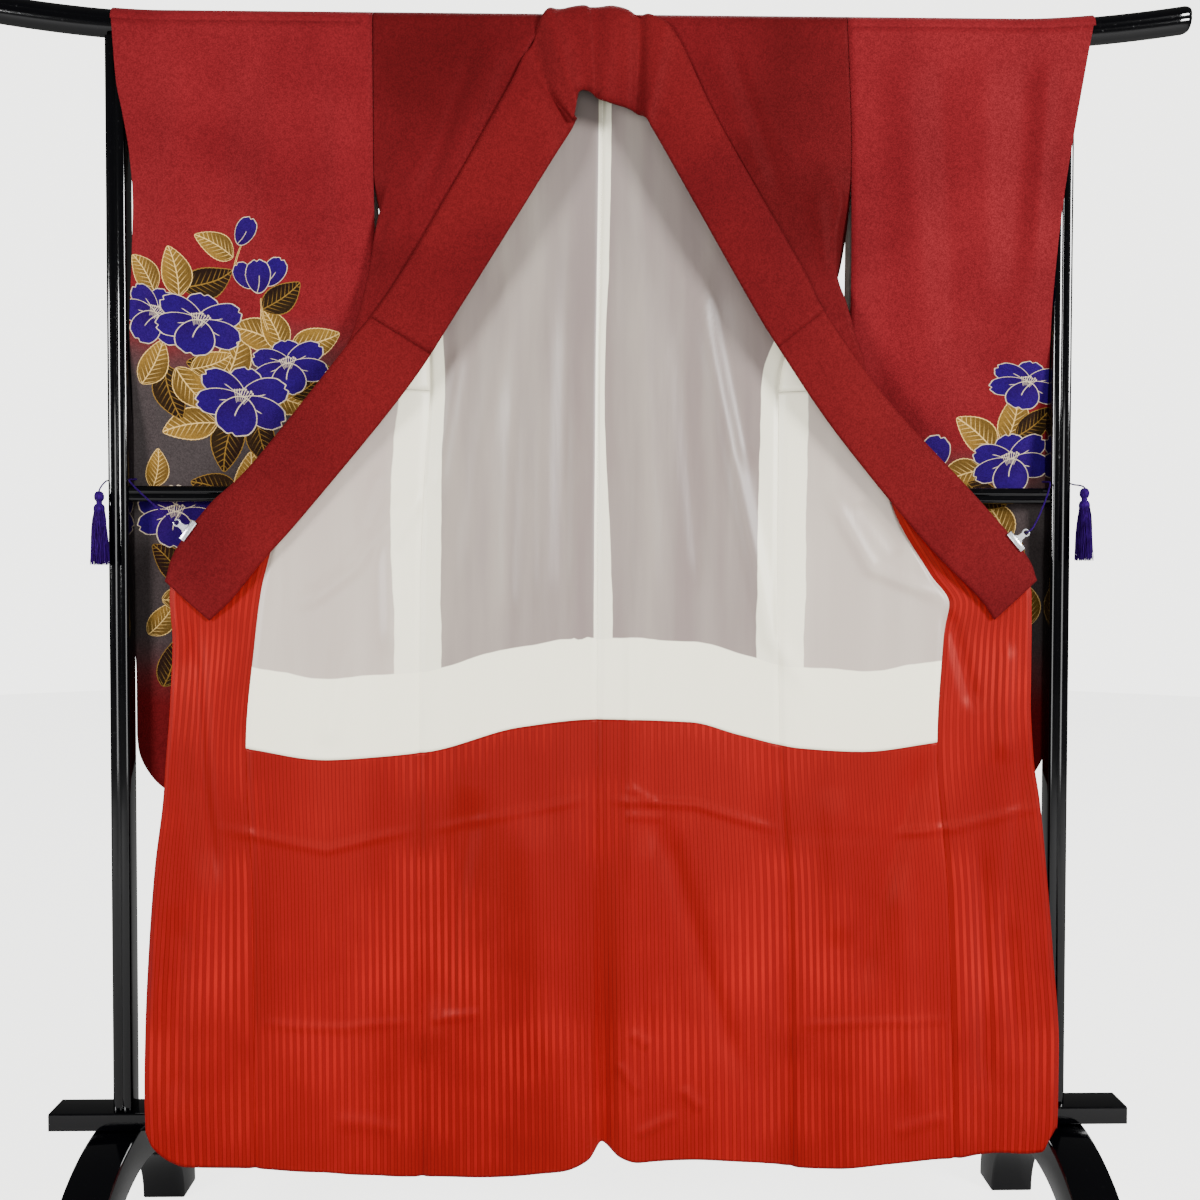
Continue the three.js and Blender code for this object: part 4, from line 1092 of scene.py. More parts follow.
@dataclass(frozen=True)
class Chrome:
    """Bright plated steel with fine scuffs, only half metallic, so that its pale silver paints the
    brightness of its reflections.
    """

    silver_with_painted_reflection: str = "#C4C5C8"

    def build(self, name: str) -> Material:
        """Builds the material."""
        # Half metallic: the diffuse pale silver is painted reflection, which keeps the clip bright.
        material, w, surface = new_material(name, Metallic=0.5)
        scuff = w.noise(w.node("TexCoord").outputs["Object"], 700.0, 3.0)
        shade = w.blend(w.step(scuff, 0.35, 0.75), colour(self.silver_with_painted_reflection), colour("#8C8D92"))
        w.feed(surface["Base Color"], shade)
        w.feed(surface["Roughness"], w.scaled(scuff, 0.16, 0.1))
        return material


@dataclass(frozen=True)
class TwistedSilk:
    """Deep purple silk thread."""

    purple: str = "#240352"
    shade: str = "#0C0122"

    def build(self, name: str) -> Material:
        """Builds the material."""
        material, w, surface = new_material(
            name, Specular_IOR_Level=0.1, Specular_Tint=(0.5, 0.1, 1.0, 1.0)
        )
        place = w.node("TexCoord").outputs["Object"]
        drawn = w.node("Mapping", None, Vector=place, Scale=(1.0, 1.0, 0.06))
        strands = w.noise(drawn.outputs[0], 1500.0, 1.0)
        base = w.blend(w.step(strands, 0.3, 0.7), colour(self.shade), colour(self.purple))
        w.feed(surface["Base Color"], base)
        w.emboss(surface["Normal"], strands, 0.4, 0.0004)
        w.feed(surface["Roughness"], w.scaled(strands, -0.2, 0.6))
        return material


def new_material(name: str, **values: object) -> tuple[Material, Wires, bpy.types.NodeInputs]:
    """Makes a material.

    Args:
        name: The material's name.
        values: Plain values for its surface shader's inputs, by name with _ for a space.

    Returns:
        The material, its wires and its surface shader's inputs.
    """
    material = bpy.data.materials.new(name)
    material.use_nodes = True
    surface = material.node_tree.nodes["Principled BSDF"].inputs
    for key, value in values.items():
        surface[key.replace("_", " ")].default_value = value
    return material, Wires(material.node_tree), surface


class Finishes:
    """Every material of the garment, the stand and the hardware."""

    def __init__(self) -> None:
        """Builds them all."""
        prints = Prints()
        self.crepe = Crepe().build("Red crepe", prints)
        # Darker copies of the red crepe: painted shade on the upper front panels and on the collar.
        deep, collar_shade = Crepe(red="#3C080A", bright="#4B0D10"), Crepe(red="#430A0D", bright="#500F11")
        self.front_shade_crepe = deep.build("Red crepe, fronts with painted shade", prints)
        self.collar_shade_crepe = collar_shade.build("Red crepe, collar with painted shade", prints)
        shades = (1.33, 1.23, 0.88, 0.78)
        self.printed = Crepe().build("Printed crepe", prints, MAIN_DESIGN, shades)
        self.side_printed = Crepe().build(
            "Printed crepe, right sleeve", prints, SIDE_DESIGN, (1.17, 1.07, 0.88, 0.78)
        )
        self.lining = PlainLining().build("White lining", prints)
        # The front panels' lining: a copy of the white lining painted lighter low down, painted
        # light, with a wider seam allowance.
        self.front_lining_painted_light = PlainLining(single="#998C82", turning=0.038).build(
            "White lining, fronts with painted light", prints
        )
        self.satin = StripedSatin().build("Striped hem lining", prints)
        self.lacquer = Lacquer().build("Black lacquer")
        self.chrome = Chrome().build("Chrome")
        self.silk = TwistedSilk().build("Purple silk")


# ---- the garment's body
DESIGN_EDGE = -0.63  # where the printed design begins, in its own coordinates
FLAP_FOLDED_BELOW = 1277  # height under which the side edge lies on the back panel
STRAIGHT_FROM = 0.7  # part of the upper curtain over which its columns grow even
WHITE_WIDTH = 0.25  # width of a white panel, in metres
DEEPEST_DIP = -0.3  # how far a lining's crease may sink towards the crepe
CURTAIN_ROWS = 125  # rows of the outer cloth below the curtain's top


@dataclass
class BodyHalf:
    """The body cloth, overlap panel and linings of one half."""

    half: Half
    finishes: Finishes
    columns: int = 42
    neck_columns: int = 12
    overlap_columns: int = 20
    row_length: float = 8.0
    fold_from: float = 0.42
    fold_to: float = 0.62
    print_lift: float = 0.70

    def inner_side(self, z: float, gap: float) -> float:
        """Returns the side seam's place across, moved out by a gap."""
        return self.half.back_edge.x(z) + self.half.side * gap

    def flap_point(self, u: float, z: float) -> Vector:
        """Returns a point of the upper front panel, from the side edge over the fold to the collar.

        Args:
            u: 0 at the side edge, 1 at the collar seam.
            z: Height.

        Returns:
            The point in millimetres.
        """
        half = self.half
        flap = half.flap
        free = ease((z - FLAP_FOLDED_BELOW) / 40) * ease((ARMHOLE_END - z) / 25)
        seam = SEAM_GAP / 2 if z < ARMHOLE_END else 0.0
        start = Vector((self.inner_side(z, seam + 1.2 * free), flap.ay(z), z))
        fold = Vector((flap.fx(z), flap.fy(z), z))
        end = Vector((flap.cx(z), flap.cy(z), z))
        spread = mix(24, 7, ease((1560 - z) / 60))
        turn = math.radians(flap.turn(z))
        before = min(spread, 0.42 * (start - fold).length)
        after = min(spread, 0.5 * (end - fold).length)
        back = fold + (start - fold).normalized() * before
        front = fold + Vector((-half.side * math.cos(turn), -math.sin(turn), 0)) * after
        if u <= self.fold_from:
            return start.lerp(back, u / self.fold_from)
        if u >= self.fold_to:
            return front.lerp(end, (u - self.fold_to) / (1 - self.fold_to))
        t = (u - self.fold_from) / (self.fold_to - self.fold_from)
        crown = fold * 2 - (back + front) * 0.5
        return back * (1 - t) ** 2 + crown * (2 * t * (1 - t)) + front * t * t

    def curtain_depth(self, x: float, z: float) -> float:
        """Returns the depth of the curtain outward of the side seam."""
        seam, edge = self.half.back_edge.x(z), self.half.front_edge.x(z)
        out = clamp((x - seam) / (edge - seam))
        return mix(BACK_DEPTH.y(z), EDGE_DEPTH.y(z), out) + hanging_relief(x, z)

    def back_depth(self, x: float, z: float) -> float:
        """Returns the depth of the back panel."""
        return BACK_DEPTH.y(z) + hanging_relief(x, z)

    @staticmethod
    def curtain_point(line_a: Line, line_b: Line, across: float, v: float, depth: Depth) -> Vector:
        """Returns a point of the curtain between two lines that run down it.

        Args:
            line_a: Place of the first line at a height.
            line_b: Place of the second line at a height.
            across: 0 at the first line, 1 at the second.
            v: 0 at the top of the curtain, 1 at the edge of the hem lining, 2 at the hem.
            depth: Depth for a place and a height.

        Returns:
            The point in millimetres.
        """
        x = mix(line_a(700), line_b(700), across)
        z = 0.0
        for _ in range(3):
            border = LINING_EDGE.z(x)
            z = mix(CURTAIN_TOP, border, v) if v <= 1 else mix(border, HEM_LINE.z(x), v - 1)
            x = mix(line_a(z), line_b(z), across)
        return Vector((x, depth(x, z), z))

    def front_point(self, u: float, v: float) -> Vector:
        """Returns a point of the front panel below the curtain's top."""
        top = [self.flap_point(s, CURTAIN_TOP).x for s in (0.0, u, 1.0)]
        fraction = (top[1] - top[0]) / (top[2] - top[0])
        across = mix(fraction, u, ease(v / STRAIGHT_FROM))
        half = self.half
        return self.curtain_point(
            lambda z: self.inner_side(z, SEAM_GAP / 2),
            lambda z: half.overlap_seam.x(z) - half.side * SEAM_GAP / 2,
            across, v, self.curtain_depth,
        )

    def upper_front_point(self, u: float, z: float) -> Vector:
        """Returns a point of the front panel between the curtain's top and the rail."""
        point = self.flap_point(u, z)
        held = ease((z - CURTAIN_TOP) / 34)
        if held < 1:
            point.y = mix(self.curtain_depth(point.x, z), point.y, held)
        if u > self.fold_to:
            free = ease((u - self.fold_to) / 0.1) * mix(0.35, 1, ease((1 - u) / 0.12))
            point.y -= flap_relief(point.x, z) * free
        return point

    def ridge_x(self, u: float) -> float:
        """Returns the place across of front column u on top of the rail."""
        x = self.flap_point(u, RAIL_CENTRE_Z).x
        return mix(x, self.half.shoulder_collar_x, ease((u - 0.7) / 0.3) * 0.999 + 0.001 * u)

    def back_fraction(self, s: float) -> float:
        """Returns how far across the back panel column s lies at the shoulder."""
        split = self.columns / (self.columns + self.neck_columns)
        edge, centre = self.ridge_x(0), self.centre(RIDGE_Z)
        if s <= split:
            x = self.ridge_x(s / split)
        else:
            x = mix(self.ridge_x(1), centre, (s - split) / (1 - split))
        return (x - edge) / (centre - edge)

    def centre(self, z: float) -> float:
        """Returns the place of this half's edge at the centre seam."""
        return CENTRE_SEAM.x(z) + self.half.side * SEAM_GAP / 2

    def back_point(self, s: float, v: float) -> Vector:
        """Returns a point of the back panel below the curtain's top."""
        across = mix(self.back_fraction(s), s, ease(v / STRAIGHT_FROM))
        return self.curtain_point(
            lambda z: self.inner_side(z, -SEAM_GAP / 2), self.centre, across, v, self.back_depth
        )

    def upper_back_point(self, s: float, z: float) -> Vector:
        """Returns a point of the back panel between the curtain's top and the rail."""
        x = mix(self.inner_side(z, -SEAM_GAP / 2), self.centre(z), self.back_fraction(s))
        return Vector((x, self.back_depth(x, z), z))

    def on_print(self, _u: float, _v: float, point: Vector) -> tuple[float, float]:
        """Returns the place in the printed design for a point of the body."""
        away = abs(point.x - self.half.back_edge.x(point.z))
        return DESIGN_EDGE + away * MM, point.z * MM + self.print_lift

    def rows(self, start: float, end: float) -> list[float]:
        """Returns row stations between two heights, a row length apart."""
        return steps(max(2, round(abs(end - start) / self.row_length)), start, end)

    def build_body(self) -> Piece:
        """Builds the body cloth from the front hem over the shoulder to the back hem."""
        bm = bmesh.new()
        front = steps(self.columns)
        back = steps(self.columns + self.neck_columns)
        texture = self.on_print
        add_grid(bm, front, steps(CURTAIN_ROWS, 2, 0), self.front_point, texture)
        flap_rows = [CURTAIN_TOP + 0.001, *self.rows(CURTAIN_TOP, RAIL_CENTRE_Z)[1:]]
        front_flap = add_grid(bm, front, flap_rows, self.upper_front_point, texture)
        front_flap += add_grid(
            bm, front, steps(7, 0, 90),
            lambda u, angle: over_rail(
                mix(self.flap_point(u, RAIL_CENTRE_Z).x, self.ridge_x(u), angle / 90), angle
            ),
            texture,
        )
        edge, centre = self.ridge_x(0), self.centre(RIDGE_Z)
        add_grid(
            bm, back, steps(7, 90, 180),
            lambda s, angle: over_rail(mix(edge, centre, self.back_fraction(s)), angle),
            texture,
        )
        add_grid(bm, back, self.rows(RAIL_CENTRE_Z, CURTAIN_TOP), self.upper_back_point, texture)
        add_grid(bm, back, steps(CURTAIN_ROWS, 0, 2), self.back_point, texture)
        bmesh.ops.remove_doubles(bm, verts=bm.verts, dist=MERGE)
        self.face_out(bm)
        for face in bm.faces:
            middle = face.calc_center_median() / MM
            if middle.z < LINING_EDGE.z(middle.x):
                face.material_index = 2
        # The upper front panels take the darker copy of the crepe: painted shade.
        for face in front_flap:
            if face.is_valid:
                face.material_index = 4
        body = new_object(f"body_cloth_{self.half.name}", bm)
        thicken(body, CLOTH, 1)
        finishes = self.finishes
        # Each outer finish is followed by that of the inner face behind it.
        pairs = (
            finishes.printed, finishes.lining, finishes.printed, finishes.crepe,
            finishes.front_shade_crepe, finishes.lining,
        )
        dress(body, "crepe", pairs, f"body_{self.half.name}")
        return body

    def face_out(self, bm: Mesh) -> None:
        """Turns the faces of the right half, whose columns run the other way."""
        if self.half.side > 0:
            bmesh.ops.reverse_faces(bm, faces=bm.faces)

    def build_overlap(self) -> Piece:
        """Builds the overlap panel."""
        bm = bmesh.new()
        across, along = steps(self.overlap_columns), steps(CURTAIN_ROWS, 2, 0)
        add_grid(bm, across, along, self.overlap_point, self.on_print)
        bmesh.ops.dissolve_degenerate(bm, dist=1e-6, edges=bm.edges)
        self.face_out(bm)
        panel = new_object(f"overlap_panel_{self.half.name}", bm)
        thicken(panel, CLOTH)
        dress(panel, "crepe", (self.finishes.printed,), f"okumi_{self.half.name}")
        return panel

    def overlap_point(self, u: float, v: float) -> Vector:
        """Returns a point of the overlap panel."""
        half = self.half
        return self.curtain_point(
            lambda z: half.overlap_seam.x(z) + half.side * SEAM_GAP / 2,
            half.front_edge.x, u, v, self.curtain_depth,
        )

    def build_linings(self) -> None:
        """Builds the white upper linings and the red hem linings."""
        back = seam_steps(84)
        front = seam_steps(66)

        def from_sides(u: float, _v: float, point: Vector) -> tuple[float, float]:
            """Returns the distance from the nearer seam and the height above the lower edge."""
            centre_turning = 1.45 if self.half.side > 0 else 6.0
            near = min(u, (1 - u) * centre_turning) * WHITE_WIDTH
            return near, (point.z - LINING_EDGE.z(point.x)) * MM

        def from_side_seam(u: float, _v: float, point: Vector) -> tuple[float, float]:
            """Returns the distance from the side seam and the height above the lower edge."""
            return u * WHITE_WIDTH, (point.z - LINING_EDGE.z(point.x)) * MM

        def stripes(offset: float, panel: float) -> Texture:
            """Returns coordinates across a striped panel and up from the hem."""
            return lambda u, _v, point: (offset + u * panel, point.z * MM)

        bm = bmesh.new()
        rows = self.rows(LINING_TOP, CURTAIN_TOP)
        add_grid(bm, back, rows, self.lined(self.upper_back_point, 250), from_sides)
        add_grid(bm, back, steps(110), self.lined(self.back_point, 250), from_sides)
        self.finish_lining(bm, "lining_back", self.finishes.lining)

        bm = bmesh.new()
        sliver = [u for u in steps(self.columns) if u <= self.fold_from]
        upper = self.rows(CURTAIN_TOP + 0.5, 1275)[::-1]
        add_grid(bm, sliver, upper, self.lined(self.upper_front_point, 230), from_side_seam)
        add_grid(bm, front, steps(110), self.lined(self.front_point, 230), from_side_seam)
        self.finish_lining(bm, "lining_front", self.finishes.front_lining_painted_light)

        below = steps(150, 1, 2)
        red = [u * RED_REACH for u in seam_steps(76)]
        for name, across, rows, place, wide, texture, flat in (
            ("back", red, below, self.back_point, 240, stripes(0.0, 0.245), (0.245, 0.62)),
            ("front", seam_steps(72), below, self.front_point, 240, stripes(0.003, 0.23),
             (0.23, 0.6)),
            ("okumi", seam_steps(42), steps(200, 0.25, 2), self.overlap_point, 140,
             stripes(0.006, 0.135), (0.16, 0.98)),
        ):
            bm = bmesh.new()
            add_grid(bm, across, rows, self.lined(place, wide), texture)
            self.finish_lining(bm, f"hem_lining_{name}", self.finishes.satin)

    @staticmethod
    def lined(place: Place, width: float) -> Place:
        """Moves a panel onto its lining, which puffs between its seams and has its own creases.

        Args:
            place: Gives a point of the outer cloth.
            width: The panel's width in millimetres.

        Returns:
            A function that gives the point of the lining.
        """

        def on_lining(u: float, v: float) -> Vector:
            """Returns a point of the lining."""
            point = place(u, v)
            rises = sum(crease.rise(point.x, point.z) for crease in LINING_CREASES)
            point.y -= LAYER_STEP + max(DEEPEST_DIP, rises)
            return point + off_seams(u, width)

        return on_lining

    def finish_lining(
        self, bm: Mesh, name: str, silk: Material
    ) -> None:
        """Makes a white or red lining from its grids.

        Args:
            bm: The grids.
            name: Name of the CAD node without its side.
            silk: Its material.
        """
        turn_to_viewer(bm)
        red = silk is self.finishes.satin
        tint, slot = ("red", "hem_satin") if red else ("white", "lining_silk")
        node = f"{name}_{self.half.name}"
        piece = new_object(f"{tint}_{node}", bm)
        thicken(piece, LINING)
        dress(piece, slot, (silk,), node)

    def build(self) -> None:
        """Builds every panel of the half."""
        self.build_body()
        self.build_overlap()
        self.build_linings()


FLAP_CREASES = creases(
    # Left front: folds that run down from the shoulder towards the collar and the side.
    (9, 8.1, (-238, 1722), (-272, 1530)),
    (14, 5.4, (-196, 1722), (-258, 1480)),
    (18, 5.8, (-120, 1725), (-205, 1500)),
    (10, -3.6, (-160, 1722), (-236, 1470)),
    (10, 4.3, (-272, 1480), (-300, 1370)),
    # Right front.
    (18, 5.4, (150, 1722), (236, 1500)),
    (14, 4.7, (210, 1722), (292, 1520)),
    (10, 5.4, (270, 1700), (326, 1500)),
    (12, 4.0, (305, 1500), (330, 1390)),
    (9, -3.2, (180, 1722), (262, 1480)),
)


def flap_relief(x: float, z: float) -> float:
    """Returns how far the upper front panels stand forward in their folds."""
    held = ease((RAIL_CENTRE_Z - z) / 60)
    return held * sum(crease.rise(x, z) for crease in FLAP_CREASES)


# ---- sleeves
SLEEVE_FRONT_DEPTH = table(
    "z y",
    (1727, -19.6), (1529, -20.2), (1440, -20.4), (1380, -19), (1300, -9), (1220, 3), (1150, 14),
    (1100, 18.5), (1000, 19), (652, 19),
)
SLEEVE_BACK_DEPTH = table(
    "z y",
    (1727, 19.6), (1620, 18.6), (1529, 15.5), (1440, 19), (1300, 25), (1100, 33), (652, 36),
)


@dataclass
class Sleeve:
    """A long hanging sleeve: one sheet over the rail, closed at the bottom and below the cuff."""

    half: Half
    finishes: Finishes
    inner: SimpleNamespace
    outer: SimpleNamespace
    return_x: float
    folds: tuple[tuple[float, float, float], ...]
    creases: tuple[Crease, ...]
    corner: float = 88  # height of the rounded outer corner at the bottom
    corner_from: float = 0.74  # where it begins across the sleeve
    corner_top: float = 960
    columns: int = 52
    row_length: float = 9.0

    def relief(self, x: float, z: float) -> float:
        """Returns how far a layer stands back (+) in its folds."""
        grown = ease((1640 - z) / 350)
        wave = sum(
            depth * math.exp(-(((x - place) / width) ** 2)) for place, width, depth in self.folds
        )
        held = ease((RAIL_CENTRE_Z - z) / 60)
        return -0.7 * grown * wave - held * sum(crease.rise(x, z) for crease in self.creases)

    def inner_edge(self, z: float) -> float:
        """Returns the place of the sleeve's edge on the body side."""
        if z >= ARMHOLE_END:
            return self.half.back_edge.x(z) + self.half.side * 0.8
        return self.inner.x(z)

    def layer_point(self, s: float, z: float, back: bool) -> Vector:
        """Returns a point of the front or back layer.

        Args:
            s: 0 at the body side, 1 at the cuff side.
            z: Height of the row at the body side.
            back: True for the back layer.

        Returns:
            The point in millimetres.
        """
        side = self.half.side
        turned = clamp((s - self.corner_from) / (1 - self.corner_from))
        raised = self.corner * (1 - math.sqrt(max(0.0, 1 - turned * turned)))
        height = z + raised * ease((self.corner_top - z) / (self.corner_top - SLEEVE_BOTTOM))
        outer = side * self.outer.x(height)
        if back:
            outer = min(outer, mix(abs(self.return_x), 700, ease((height - 1560) / 90)))
        x = mix(self.inner_edge(height), side * outer, s)
        if back:
            y = SLEEVE_BACK_DEPTH.y(height) + 0.6 * self.relief(x + 30, height)
        else:
            y = SLEEVE_FRONT_DEPTH.y(height) + self.relief(x, height)
        lift = rail_rise(x) * ease((height - 1450) / 277)
        # The two layers meet in a soft fold along the bottom and below the cuff.
        if height < CUFF_END:
            closing = ease((s - 0.955) / 0.045)
            meet = SLEEVE_FRONT_DEPTH.y(height) + (2.6 if back else 0.4)
            y = mix(y, meet, closing * (0.85 if back else 0.3) * ease((CUFF_END - height) / 20))
        return Vector((x, y, height + lift))

    def rail_point(self, s: float, angle: float) -> Vector:
        """Returns a point of the sleeve over the rail."""
        return over_rail(mix(self.inner_edge(RAIL_CENTRE_Z), self.outer.x(RIDGE_Z), s), angle)

    def on_front(self, _s: float, _z: float, point: Vector) -> tuple[float, float]:
        """Returns the place in the printed design for the front layer."""
        return point.x * MM, point.z * MM

    def on_back(self, _s: float, _z: float, point: Vector) -> tuple[float, float]:
        """Returns the place in the printed design for the back layer."""
        start = -0.94 if self.half.side < 0 else 0.01
        return start - point.x * MM, point.z * MM - 0.05

    def build(self) -> Piece:
        """Builds the sleeve."""
        bm = bmesh.new()
        across = [mix(t, math.sin(math.pi / 2 * t), 0.85) for t in steps(self.columns)]
        count = round((RAIL_CENTRE_Z - SLEEVE_BOTTOM) / self.row_length)
        up = steps(count, SLEEVE_BOTTOM, RAIL_CENTRE_Z)
        add_grid(bm, across, up, lambda s, z: self.layer_point(s, z, False), self.on_front)
        add_grid(bm, across, steps(8, 0, 90), self.rail_point, self.on_front)
        rear = add_grid(bm, across, steps(8, 90, 180), self.rail_point, self.on_back)
        down = steps(count, RAIL_CENTRE_Z, SLEEVE_BOTTOM)
        rear += add_grid(bm, across, down, lambda s, z: self.layer_point(s, z, True), self.on_back)
        # The bag's rounded bottom: the back layer runs on round to the front one.
        rear += add_grid(bm, across, steps(4), self.bottom_point, self.on_back)
        below_cuff = [z for z in up if z < CUFF_END - 20]
        rear += add_grid(bm, steps(3), below_cuff, self.edge_point, self.on_back)
        if self.half.side > 0:
            for face in rear:
                face.material_index = 2
        bmesh.ops.remove_doubles(bm, verts=bm.verts, dist=0.00005)
        bmesh.ops.recalc_face_normals(bm, faces=bm.faces)
        bm.normal_update()
        facing = sum(f.normal.y for f in bm.faces if f.calc_center_median().y < 0.0)
        if facing > 0:
            bmesh.ops.reverse_faces(bm, faces=bm.faces)
        sleeve = new_object(f"long_sleeve_{self.half.name}", bm)
        thicken(sleeve, CLOTH, 1)
        finishes = self.finishes
        first = finishes.printed if self.half.side < 0 else finishes.side_printed
        pairs = (first, finishes.lining, finishes.printed, finishes.lining)
        dress(sleeve, "crepe", pairs, f"sleeve_{self.half.name}")
        return sleeve

    def bottom_point(self, s: float, t: float) -> Vector:
        """Returns a point of the rounded bottom, from the back layer at t 0 to the front at 1."""
        back = self.layer_point(s, SLEEVE_BOTTOM, True)
        front = self.layer_point(s, SLEEVE_BOTTOM, False)
        point = back.lerp(front, t)
        point.z -= 5 * math.sin(math.pi * t)
        return point

    def edge_point(self, t: float, z: float) -> Vector:
        """Returns a point of the outer edge below the cuff, from the front layer to the back."""
        front = self.layer_point(1.0, z, False)
        back = self.layer_point(1.0, z, True)
        point = front.lerp(back, t)
        point.x += self.half.side * 0.9 * math.sin(math.pi * t)
        return point


# ---- collar
@dataclass(frozen=True)
class CollarFold:
    """A fold across the collar band, from a station at its seam to one at its free edge."""

    at_seam: float
    at_free: float
    width: float
    seam_depth: float
    free_depth: float

    def rise(self, station: float, across: float) -> float:
        """Returns how far the fold stands forward at a point of the band."""
        off = (station - mix(self.at_seam, self.at_free, across)) / self.width
        return mix(self.seam_depth, self.free_depth, across) * math.exp(-off * off)


COLLAR_FOLDS = (
    CollarFold(7.2, 6.3, 0.34, -7.0, -13.0),
    CollarFold(8.1, 7.5, 0.36, 4.0, 5.5),
    CollarFold(10.4, 10.2, 0.4, 3.0, 4.5),
    CollarFold(11.3, 11.8, 0.3, -6.5, -11.0),
    CollarFold(12.5, 12.5, 0.4, 3.0, 4.5),
    CollarFold(5.2, 5.35, 0.8, 0.0, 3.5),
    CollarFold(14.2, 14.0, 0.8, 0.5, 3.0),
    CollarFold(3.2, 3.3, 0.7, 1.5, -1.5),
    CollarFold(17.2, 17.3, 0.7, -1.5, 1.5),
)


@dataclass
class Collar:
    """The collar band from the left tip round the neck to the right tip, and its over-collar."""

    finishes: Finishes
    stations: tuple[tuple[tuple[float, float, float], tuple[float, float, float]], ...] = (
        ((-578, -60.4, 960), (-518, -63, 907)),
        ((-564, -58.8, 1002), (-487, -62, 937)),
        ((-520, -55.2, 1063), (-447, -60, 987)),
        ((-459, -51.2, 1123), (-389, -56, 1054)),
        ((-339, -44.4, 1276), (-258, -46, 1217)),
        ((-265, -36.6, 1376), (-183, -39, 1332)),
        ((-129, -26.4, 1615), (-42, -28, 1563)),
        ((-92, -23.8, 1690), (-27, -28, 1598)),
        ((-67, -20.2, 1739), (-21, -27, 1630)),
        ((-40, -6, 1750), (-8, -25, 1634)),
        ((10, 3, 1750.6), (10, -25, 1621)),
        ((52, -7.5, 1750), (38, -27, 1613)),
        ((86, -21.6, 1736), (66, -28, 1602)),
        ((118, -23.4, 1703), (82, -28, 1580)),
        ((174, -27, 1588), (104, -30, 1541)),
        ((285, -36.4, 1393), (209, -39, 1355)),
        ((316, -40.4, 1332), (253, -43, 1282)),
        ((404, -46.4, 1210), (333, -49, 1163)),
        ((521, -54.6, 1081), (450, -58, 1018)),
        ((590, -59.4, 1000), (525, -62, 941)),
        ((607, -60.4, 963), (548, -63, 909)),
    )
    neck_station: float = 10.0
    over_from: float = 4.5
    over_to: float = 16.0
    seam_station: float = 9.62  # the band's own centre seam
    columns: int = 18
    rows_per_station: int = 14

    def relief(self, station: float, across: float) -> float:
        """Returns how far the band stands forward in its folds and at its centre seam."""
        folds = sum(fold.rise(station, across) for fold in COLLAR_FOLDS)
        before = self.seam_station - station
        step = 2.6 * math.exp(-((before / 0.5) ** 2)) * ease(before / 0.07)
        return folds + step

    def __post_init__(self) -> None:
        """Runs the two edge curves through the stations."""
        self.seam = Spline([Vector(seam) for seam, _ in self.stations])
        self.free = Spline([Vector(free) for _, free in self.stations])
        self.last = len(self.stations) - 1

    def base(self, station: float, across: float) -> Vector:
        """Returns a point of the band's middle surface, from its seam to its free edge."""
        t = station / self.last
        seam, free = self.seam.at(t), self.free.at(t)
        neck = ease(1 - abs(station - self.neck_station) / 3.2)
        control = seam.lerp(free, 0.5)
        control.y -= 3 + 15 * neck
        control.z += 86 * neck
        return seam * (1 - across) ** 2 + control * (2 * across * (1 - across)) + free * across**2

    def point(self, station: float, across: float, lift: float = 0.0) -> Vector:
        """Returns a point raised from the band's own surface by lift."""
        along = self.base(station + 0.02, across) - self.base(station - 0.02, across)
        inward = self.base(station, across + 0.01) - self.base(station, across - 0.01)
        raised = lift + self.relief(station, across)
        return self.base(station, across) + inward.cross(along).normalized() * raised

    def strip(self, name: str, start: float, end: float, lift: float, node: str) -> Piece:
        """Builds a strip of the band between two stations."""
        bm = bmesh.new()
        rows = steps(round((end - start) * self.rows_per_station), start, end)
        add_grid(
            bm, steps(self.columns), rows,
            lambda across, station: self.point(station, across, lift),
            lambda across, station, _point: (across * 0.1, station * 0.09),
        )
        turn_to_viewer(bm)
        strip = new_object(name, bm)
        thicken(strip, CLOTH)
        # The band takes the darker copy of the crepe: painted shade.
        return dress(strip, "crepe", (self.finishes.collar_shade_crepe,), node)

    def build(self) -> None:
        """Builds both strips."""
        band = self.strip("collar_band", 0, self.last, 0.0, "collar")
        over = self.strip("over_collar_band", self.over_from, self.over_to, 2.2, "over_collar")


